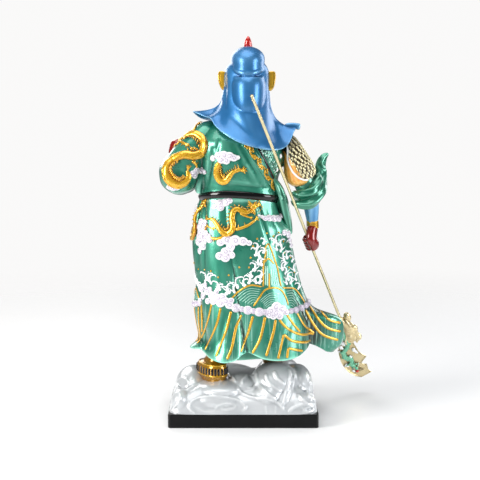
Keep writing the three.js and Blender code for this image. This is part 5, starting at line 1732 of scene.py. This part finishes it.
# each dragon is its cloth, its view and its plan: body places from head to tail, half width along the body,
# ridge for the side its fins stand on, head and tail (place, heading, size) and legs (places, width and the
# foot's heading); steps divide the body, finned is the share that has fins, turned where they change sides
dragonSet = {
    "skirtDragon": ("skirt", "back", {
        "body": [(-13, 268), (-7, 264), (-1, 265), (5, 268), (10, 265), (12, 257), (10.5, 249), (12, 242),
                 (18, 237.5), (24, 240), (30, 248), (35, 254), (41, 255)],
        "size": [(0, 2.4), (0.15, 3.0), (0.5, 4.0), (0.75, 3.6), (1, 1.8)], "head": (-14.5, 270.5, 155, 3.5),
        "legs": [([(9, 243), (1, 245), (-7, 248), (-14, 252.5), (-18, 256)], 1.9, 150),
                 ([(2, 263), (-5, 259.5), (-11, 257.5)], 1.5, 200),
                 ([(17, 237), (27, 232), (36, 231.5), (42, 236), (44, 242)], 2.0, 70),
                 ([(28, 247), (36, 243.5), (42, 246)], 1.5, 40)],
        "tail": (42, 255, 20, 2.4)}),
    "sleeveDragon": ("upper", "back", {
        "body": [(73, 352), (66, 358), (57, 359), (49, 354), (45.5, 346), (49, 337), (59, 333), (71, 334),
                 (83, 329), (91, 321), (92.5, 311), (87.5, 302), (78, 298), (69.5, 301), (65.5, 308),
                 (68, 315.5)],
        "size": [(0, 2.8), (0.12, 4.4), (0.35, 5.7), (0.55, 5.5), (0.75, 6.0), (0.9, 4.2),
                 (1, 2.2)], "steps": 130, "finned": 0.92, "turned": 0.47,
        "legs": [([(64, 345), (70, 347), (76, 350), (80, 352)], 2.0, 30),
                 ([(61, 327), (56, 321), (57, 315)], 1.8, 280),
                 ([(64, 358), (59, 364), (56, 371)], 2.2, 80),
                 ([(74, 355), (78, 348), (82, 345)], 1.8, 330)],
        "tail": (66, 317, 100, 2.6)}),
    "torsoDragon": ("upper", "back", {
        "body": [(27, 326), (30, 318), (29.5, 309), (25, 302.5), (19, 303), (14.5, 309), (10, 314), (4, 317)],
        "size": [(0, 3.2), (0.3, 4.6), (0.6, 4.2), (0.85, 2.6), (1, 2.4)], "ridge": -1, "steps": 60,
        "legs": [([(8, 315), (3, 316.5), (-1, 316)], 2.6, 170)]}),
    "sideDragon": ("skirt", "round", {
        "body": [(-67, 272), (-73, 264), (-77, 254), (-73, 244), (-75, 234), (-84, 228), (-94, 233),
                 (-101, 244), (-110, 250), (-120, 245)],
        "size": [(0, 2.2), (0.2, 3.0), (0.5, 3.8), (0.8, 3.0), (1, 1.6)], "head": (-65, 274, 60, 2.6),
        "legs": [([(-79, 250), (-87, 254), (-92, 260)], 1.5, 120),
                 ([(-91, 231), (-99, 225), (-105, 220)], 1.5, 220)],
        "tail": (-122, 244, 200, 2.4)}),
    "frontDragon": ("skirt", "front", {
        "body": [(-26, 246), (-34, 238), (-36, 226), (-28, 216), (-15, 212), (-3, 206), (4, 196), (16, 190),
                 (28, 194), (36, 204)],
        "size": [(0, 2.4), (0.2, 3.2), (0.5, 4.0), (0.8, 3.2), (1, 1.6)], "ridge": -1,
        "head": (-23, 249, 40, 2.8),
        "legs": [([(-33, 222), (-42, 216), (-47, 210)], 1.6, 220),
                 ([(-8, 206), (-12, 196), (-18, 190)], 1.6, 240),
                 ([(20, 192), (22, 182), (28, 176)], 1.5, 300)],
        "tail": (37, 205, 60, 2.6)}),
}


def makeDragons():
    trees = {"skirt": [skirtTree, sashTree], "upper": [upperTree]}
    for name, (cloth, view, plan) in dragonSet.items():
        makeDragon(name, trees[cloth], view, plan)


makeDragons()
print("dragons ready")

# the clouds, each a group of puffs with their places and radii
cloudSet = {
    "skirtBack": [[(20, 276, 5.2), (27, 274.5, 4.8), (33, 270.5, 3.8), (26, 269, 4.0), (15, 278, 3.6)],
                  [(50, 250, 4.4), (45, 250, 4), (52, 244, 5), (45.5, 243, 4.6), (50, 238, 5.2),
                   (44, 236, 5), (40.5, 234, 3.6), (52, 232, 5.4), (46, 228, 5.2), (39.5, 229.5, 3.8),
                   (48, 221, 5), (54, 225, 4.8), (52, 214, 3.8)],
                  [(26, 227, 4.2), (18, 230.5, 5.6), (8, 230, 6), (-1.5, 229, 5), (-9, 227, 3.2),
                   (14, 222, 5.4), (20, 216, 4.8), (27, 210.5, 4.6), (20, 208, 4.6), (12.5, 212, 4.4)],
                  [(-21, 260, 1.6), (-25, 258, 2.2), (-29, 256, 3.2), (-34, 256, 4.2), (-40, 255, 4.4),
                   (-45, 254.5, 4.4), (-49, 256.5, 3.2)],
                  [(-53, 237, 3.8), (-58, 234, 4.6), (-60, 226, 4), (-62, 219, 3.2)]],
    "upperBack": [[(35, 330, 3.6), (28, 333.5, 4.6), (22, 334, 5.2), (15, 333, 5), (9.5, 331, 4),
                   (5, 331.5, 2.6), (19, 327.5, 4.2), (25, 328, 4)],
                  [(61, 311, 3.6), (56, 314, 4.4), (50, 314.5, 4), (46, 312.5, 3), (58, 308, 3.4)],
                  [(90, 294, 3), (85, 293, 3.8), (80, 293.5, 3.4)]],
    "skirtRound": [[(-150, 268, 4.4), (-145, 270, 4.8), (-140, 267, 4)],
                   [(-96, 262, 3.6), (-92, 266, 4.4), (-88, 262, 3.8)],
                   [(-120, 226, 4), (-126, 229, 5), (-132, 226, 4.4), (-137, 223, 3.2)],
                   [(150, 262, 4.4), (155, 265, 5), (160, 262, 4.2), (166, 260, 3)],
                   [(124, 232, 4), (129, 236, 5), (135, 233, 4.6), (130, 228, 4)],
                   [(106, 262, 3.6), (111, 264, 4.2)]],
    "upperFront": [[(-34, 334, 3.6), (-40, 336, 4.2), (-46, 332, 3.4)],
                   [(34, 312, 3.8), (40, 314, 4.4), (44, 309, 3.2)]],
    "thick": 1.5, "grain": 0.6, "line": 0.42, "curled": 2.8,  # puffs of this radius and more bear a curl
}


def makeClouds(name, groups, view, trees):
    mesh, lines, wide = newMesh(), newMesh(), perMillimetre(view)
    for a, z, radius in [puff for group in groups for puff in group]:
        spot, out = castOnto(trees, a, z, view)
        radii = (radius * 1.24, radius * 1.1, cloudSet["thick"] + 0.16 * radius)
        ball(mesh, spot + out * 0.5, radii, out, (22, 12))
    whole = castTogether(mesh, cloudSet["grain"], 1)
    tree = BVHTree.FromBMesh(whole)
    finishPiece(name, whole, "cloud", crests=(14, 1.1))
    for k, (a, z, radius) in [numbered for group in groups for numbered in enumerate(group)]:
        if radius >= cloudSet["curled"]:
            start, hand = (200, -1) if k % 2 else (-20, 1)
            places = [(a + (p - a) * wide, q) for p, q in spiral(a, z, radius * 0.72, start, hand, 1.25)]
            inlay(lines, [tree] + trees, places, view, cloudSet["line"], 26, sides=6)
    finishPiece(name + "Curls", lines, "cloudLine")


makeClouds("skirtClouds", cloudSet["skirtBack"], "back", [skirtTree, sashTree])
makeClouds("robeClouds", cloudSet["upperBack"], "back", [upperTree])
makeClouds("sideClouds", cloudSet["skirtRound"], "round", [skirtTree])
makeClouds("chestClouds", cloudSet["upperFront"], "front", [upperTree])
print("clouds ready")

# the mountain, waves, foam and drops
seaSet = {
    "line": 1.2,
    "peaks": [[(-33, 226), (-29, 220.5), (-29.5, 213), (-27, 202), (-26.5, 186), (-26.5, 172)],
              [(-33, 226), (-37, 216), (-41, 204), (-44.5, 193), (-47, 179), (-49, 171)],
              [(-28, 203), (-33, 207), (-40, 200)], [(-34, 189), (-34, 171)]],
    "ribs": [[(-29.5, 199), (-29.5, 174)], [(-31.8, 199), (-32, 173)], [(-36.5, 199), (-37, 173)],
             [(-38.5, 196), (-40, 173)], [(-40.8, 192), (-43, 172)], [(-42.5, 186), (-46, 171)],
             [(-31, 219), (-32, 206)], [(-33, 221), (-34.5, 208)], [(-35.5, 215), (-37.5, 203)]],
    "hills": [[(14, 157), (1, 169), (-11, 175), (-25, 173)],
              [(-14, 148), (-22, 160), (-29, 169), (-40, 171), (-49, 167), (-55, 157), (-58, 147)],
              [(-50, 170), (-59, 168), (-67, 165), (-74, 156), (-80, 146)]],
    # each hill's hatching is two ends of its first line, the place its lines shrink towards and their number
    "hatches": [((14, 157), (-25, 172), (-16, 150), 7), ((-20, 157), (-50, 165), (-36, 142), 8),
                ((-54, 168), (-76, 153), (-62, 143), 7)],
    # each crest of foam is its place, height and lean
    "foam": [(45.4, 177, 10.6, -1), (40.5, 180, 8.5, 1), (38, 176, 10.6, 1), (30.6, 169, 9.9, -1),
             (27, 169, 7, 1), (19, 164, 9, -1), (15.8, 166, 12, 1), (9, 166, 9, 1), (5.3, 172, 13.4, 1),
             (-3.2, 175, 8, 1), (-8.8, 178, 9.2, -1), (-18, 178, 8.5, 1), (-22, 178, 7.3, -1),
             (-27, 226, 6.3, -1), (-18.5, 220, 7, -1), (-17, 212, 9.2, -1), (-22, 210, 7.8, 1),
             (-21, 201, 7.3, 1), (-15.5, 194, 8.8, -1), (-24.5, 200, 6.8, 1), (-23.5, 186, 7, -1),
             (-27, 215, 6, -1), (-12, 186, 7, 1), (-38.5, 224, 7.8, -1), (-43.3, 224.9, 10.6, 1),
             (-43.5, 217, 7.8, 1), (-48.3, 215, 7.8, -1), (-52.5, 203.5, 10.2, 1), (-56.7, 205, 8, 1),
             (-50.5, 192, 8.8, 1), (-54.2, 186.4, 7.8, -1), (-58.1, 178, 8.8, 1), (-61, 173.6, 8.8, -1),
             (-68.5, 176, 8.5, 1), (-71.1, 165, 7.3, -1), (-56, 174, 7.3, 1), (-61, 218, 8, -1),
             (-63, 200, 7.3, -1), (-66, 188, 8, 1), (-49, 221, 8, 1), (-53, 196, 7, -1)],
    # round about it is a line of places, the number of crests, their height and how far they stray
    "foamRound": [([(-64, 166), (-90, 172), (-120, 164), (-150, 170), (-179, 166)], 30, 6,
                   3), ([(126, 166),
                                                                                                 (145, 172),
                                                                                                 (165, 164),
                                                                                                 (179,
                                                                                                  168)], 16,
                                                                                                6, 3)],
    "drops": [(-19, 232), (-14, 223), (-11, 209), (-9, 197), (3, 197), (16, 187), (29, 184), (38, 191),
              (46, 191), (-31, 238), (-39, 234), (-46, 238), (-52, 226), (-53, 212), (-61, 205), (-59, 193),
              (-66, 186)],
    "dropsRound": [(-70, 190), (-84, 196), (-97, 188), (-112, 197), (-128, 190), (-145, 196), (-163, 188),
                   (140, 196), (156, 189), (171, 197)],
    "drop": (1.35, 1.35, 1.1),
    "hillsRound": [[(-66, 152), (-80, 164), (-94, 152)], [(-90, 154), (-106, 168), (-122, 152)],
                   [(-118, 154), (-134, 165), (-150, 152)], [(-146, 154), (-162, 168), (-178, 152)],
                   [(128, 154), (142, 166), (156, 152)], [(152, 154), (166, 167), (180, 152)]],
}


def foamHook(mesh, trees, view, a, z, size, lean, chance):
    wide = perMillimetre(view)
    bend = lean * size * 0.5 * wide
    crest = [(a, z), (a + bend * 0.3, z + size * 0.45), (a + bend * 0.1, z + size * 0.85),
             (a - bend, z + size), (a - bend * 1.2, z + size * 0.7)]
    inlay(mesh, trees, crest, view, lambda t: (1.6 - 1.2 * t, 1.1 - 0.6 * t), 14, 0.2, ends=0.1)
    side = [(a, z + size * 0.05), (a + bend * 0.9, z + size * 0.3), (a + bend * 1.5, z + size * 0.6)]
    inlay(mesh, trees, side, view, lambda t: (1.1 - 0.8 * t, 0.95 - 0.5 * t), 10, 0.2, sides=6, ends=0.12)
    spot, out = castOnto(trees, a, z, view)
    ball(mesh, spot, (chance.uniform(2.0, 2.8), chance.uniform(1.6, 2.4), 1.1), out, (12, 6))
    for _ in range(2):
        aside = a + chance.uniform(-3, 3) * wide
        spot, out = castOnto(trees, aside, z + size * chance.uniform(0.5, 1.3), view)
        ball(mesh, spot, (0.7, 0.7, 0.7), out, (8, 5))


def makeSea():
    trees, chance = [skirtTree, sashTree], random.Random(11)
    gold, foam, drops, hatch = (newMesh() for _ in range(4))
    for places in seaSet["peaks"] + seaSet["hills"]:
        inlay(gold, trees, places, "back", seaSet["line"], 40)
    for places in seaSet["hillsRound"]:
        inlay(gold, trees, places, "round", seaSet["line"], 30)
        top = places[1][0]
        for k in range(1, 6):
            low = [(blend(a, top, 0.12 * k), z - 2.4 * k * (1 if a == top else 0.1)) for a, z in places]
            inlay(hatch, trees, low, "round", 0.32, 20, sides=6)
    for places in seaSet["ribs"]:
        inlay(hatch, trees, places, "back", 0.75, 16, sides=6)
    for (a0, z0), (a1, z1), (a2, z2), number in seaSet["hatches"]:
        for k in range(1, number + 1):
            s = k / (number + 1.5)
            first, last = (blend(a0, a2, s), blend(z0, z2, s)), (blend(a1, a2, s), blend(z1, z2, s))
            rise = (1 - s) * math.hypot(a1 - a0, z1 - z0) * 0.2
            middle = ((first[0] + last[0]) / 2, (first[1] + last[1]) / 2 + rise)
            inlay(hatch, trees, [first, middle, last], "back", 0.3, 22, sides=6)
    for a, z, size, lean in seaSet["foam"]:
        foamHook(foam, trees, "back", a, z, size, lean, chance)
    for places, number, size, spread in seaSet["foamRound"]:
        for k, spot in enumerate(smoothPath([(a, z, 0) for a, z in places], number - 1)):
            a, z = spot.x + chance.uniform(-0.5, 0.5) * spread, spot.y + chance.uniform(-0.5, 0.5) * spread
            foamHook(foam, trees, "round", a, z, size * chance.uniform(0.8, 1.4), 1 if k % 2 else -1, chance)
    for view, rows in (("back", seaSet["drops"]), ("round", seaSet["dropsRound"])):
        for a, z in rows:
            spot, out = castOnto(trees, a, z, view)
            ball(drops, spot, seaSet["drop"], out, (12, 8))
    finishPiece("mountainLines", gold, "line")
    finishPiece("waveHatching", hatch, "mint")
    finishPiece("waveFoam", foam, "foam")
    finishPiece("goldDrops", drops, "line")


makeSea()
print("sea ready")

# the scalloped cloud band and the stripes below it
hemSet = {
    "mass": [(45, 172, 3.6), (50, 166, 4.4), (43, 165, 4.6), (48, 158, 4.6), (37, 161, 4.8), (30, 158, 4.6),
             (39, 168, 3.2), (24, 160, 4.4), (20, 155, 4.6), (13, 156, 3.2), (15, 150, 4.4), (26, 152, 4.6),
             (35, 154, 4.4), (42, 153, 3.8), (31, 166, 2.8), (52, 151, 3)],
    "lobe": [(-36, 143, 4.6), (-43, 147.5, 5.8), (-50, 144, 5.2), (-43, 140, 5.6), (-55, 140, 3.8),
             (-47, 136, 4.2), (-34, 138, 3.8), (-39, 136, 3.6)],
    "scallops": [(7, 146.5, 6.2), (-0.4, 145, 4.2), (-7.5, 144, 6.2), (-14.5, 143, 4.2), (-21.5, 142, 6.2),
                 (-29, 141.5, 4.4), (-61, 140.5, 4.2), (-67.5, 140.5, 4.8), (-74.5, 141, 4.8),
                 (-81, 143, 4.4), (-86, 146, 3.8)],
    "scallopsRound": [(turn, 146 + 3 * math.sin(math.radians(turn * 5)), 4.7)
                      for turn in [*range(-178, -62, 7), *range(124, 180, 7)]],
    "thick": 2.4, "rings": (0.74, 0.46, 0.2), "ring": (0.36, 0.36),
    "stripe": (1.75, 0.9),
    "stripes": [[(51, 154), (50, 126), (50, 110)], [(37, 151), (42, 129), (47, 112), (51, 102)],
                [(26, 147), (30, 129), (38, 108), (46, 90)], [(13, 143), (20, 117), (32, 86)],
                [(0, 138), (7, 122), (12, 99), (18, 84)], [(-14, 137), (-8, 116), (1, 92)],
                [(-29, 136), (-23, 110), (-13, 90)], [(-42, 132), (-39, 116), (-30, 87)]],
    "corners": [[(-52, 113), (-45, 84)], [(-52, 113), (-64, 104), (-88, 98)], [(-58, 96), (-56, 84)],
                [(-58, 96), (-76, 90)]],
    "sweeps": [[(-46, 132), (-57, 120), (-73, 111), (-92, 106.5)], [(-56, 137), (-64, 125), (-73, 114)],
               [(-69, 137), (-79, 120), (-91.5, 107)], [(-80, 139), (-91, 119), (-103, 105), (-124, 96)],
               [(-86, 142), (-99, 123), (-110, 113), (-127, 107)],
               [(-101, 134), (-111, 124), (-126.5, 118)]],
    "stripesRound": [[(turn, 143), (turn - 3, 120), (turn - 5, 94)]
                     for turn in [*range(-176, -60, 12), *range(128, 182, 12)]],
}


def makeHem():
    h, trees = hemSet, [skirtTree]
    makeClouds("bandClouds", [h["mass"], h["lobe"]], "back", trees)
    puffs, rings, stripes = newMesh(), newMesh(), newMesh()
    for view, rows in (("back", h["scallops"]), ("round", h["scallopsRound"])):
        for a, z, radius in rows:
            spot, out = castOnto(trees, a, z, view)
            ball(puffs, spot + out * 0.4, (radius, radius * 0.9, h["thick"]), out, (24, 12), 0.62)
            for share in h["rings"]:
                wide, high = radius * share * perMillimetre(view), radius * share * 0.9
                ring = [(a + wide * math.cos(0.5 * k), z + high * math.sin(0.5 * k)) for k in range(13)]
                spots, outs = lay(trees, ring, view, 24, 0.35 + h["thick"] * math.sqrt(1 - share ** 2))
                rod(rings, spots, h["ring"], sides=6, outs=outs, ends=0.05)
    finishPiece("bandPuffs", puffs, "cloud")
    finishPiece("bandRings", rings, "cloudLine")
    for view, rows in (("back", h["stripes"] + h["corners"] + h["sweeps"]), ("round", h["stripesRound"])):
        for places in rows:
            inlay(stripes, trees, places, view, h["stripe"], 40, ends=0.03)
    finishPiece("hemStripes", stripes, "line")


makeHem()
print("hem ready")

# collar bands, mail and studs
collarSet = {
    "bands": [("back", [(-3, 350), (-9, 343), (-17, 331), (-24, 321), (-31, 309), (-38, 297),
                        (-42, 290)], 5.0),
              ("front", [(-30, 352), (-22, 338), (-10, 322), (4, 306), (18, 294)], 5.0)],
    "edge": [(-17, 348), (-22, 340), (-29, 327), (-36, 312), (-41, 302)],
    "mail": [(-20, 345), (-30, 330), (-42, 306), (-46, 312), (-45, 330), (-44, 346)],
    "mailFrom": (-18, 304), "mailPitch": 2.7, "mailRows": 16, "mailColumns": 12, "ring": (1.3, 1.5, 1.0),
    "studs": [(-48, 332, 2.4, 3.0), (-43.5, 315, 2.2, 2.8)],
}


def layScrolls(mesh, trees, view, places, half):
    # a wave along a band, with a curl and a small leaf in each of its hollows
    line, wave = smoothPath([(a, z, 0) for a, z in places], 60), []
    for i in range(3, 58, 3):
        way, swing = wayAt(line, i), math.sin(i * pi / 6) * half * 0.45
        wave.append((line[i].x - way.y * swing, line[i].y + way.x * swing))
    inlay(mesh, trees, wave, view, 1.2, 70, 0.1)
    for n, i in enumerate(range(6, 58, 6)):
        way, hand = wayAt(line, i), 1 if n % 2 else -1
        a, z = line[i].x + way.y * half * 0.25 * hand, line[i].y - way.x * half * 0.25 * hand
        inlay(mesh, trees, spiral(a, z, half * 0.6, 90 * hand, hand, 1.2), view, 1.05, 26, 0.1)
        leaf = spiral(a + way.x * 2.6, z + way.y * 2.6, half * 0.34, -90 * hand, -hand, 0.9)
        inlay(mesh, trees, leaf, view, 0.9, 16, 0.1)


def makeCollars():
    c, trees = collarSet, [upperTree]
    bands, scrolls, edge, mail, studs = (newMesh() for _ in range(5))
    for view, places, half in c["bands"]:
        spots, outs = lay(trees, places, view, 60, 0.1, calm=6)
        rod(bands, spots, (half, 1.1), sides=20, outs=outs, ends=0.02, section=0.6)
    tree = BVHTree.FromBMesh(bands)
    finishPiece("collarBands", bands, "robeDeepGreenAndShade", crests=(6, 0.6))
    for view, places, half in c["bands"]:
        layScrolls(scrolls, [tree, upperTree], view, places, half)
    finishPiece("collarScrolls", scrolls, "line")
    inlay(edge, trees, c["edge"], "back", (1.8, 0.7), 30, 0.1)
    finishPiece("collarEdge", edge, "black")
    chance, pitch = random.Random(5), c["mailPitch"]
    for row in range(c["mailRows"]):
        for column in range(c["mailColumns"]):
            x = c["mailFrom"][0] - pitch * column - pitch / 2 * (row % 2)
            z = c["mailFrom"][1] + pitch * row
            if insideShape(x, z, c["mail"]):
                spot, out = castOnto(trees, x, z, "back")
                # each ring takes a random mark, from painted shade to a painted glint
                ball(mail, spot, c["ring"], out, (8, 6), chance.choice((0.1, 0.35, 0.9, 1.0)))
    finishPiece("collarMail", mail, "mail")
    for x, z, wide, high in c["studs"]:
        spot, out = castOnto(trees, x, z, "back")
        ball(studs, spot, (wide, high, 1.6), out, (18, 10))
    finishPiece("collarStuds", studs, "white")


makeCollars()
print("collars ready")
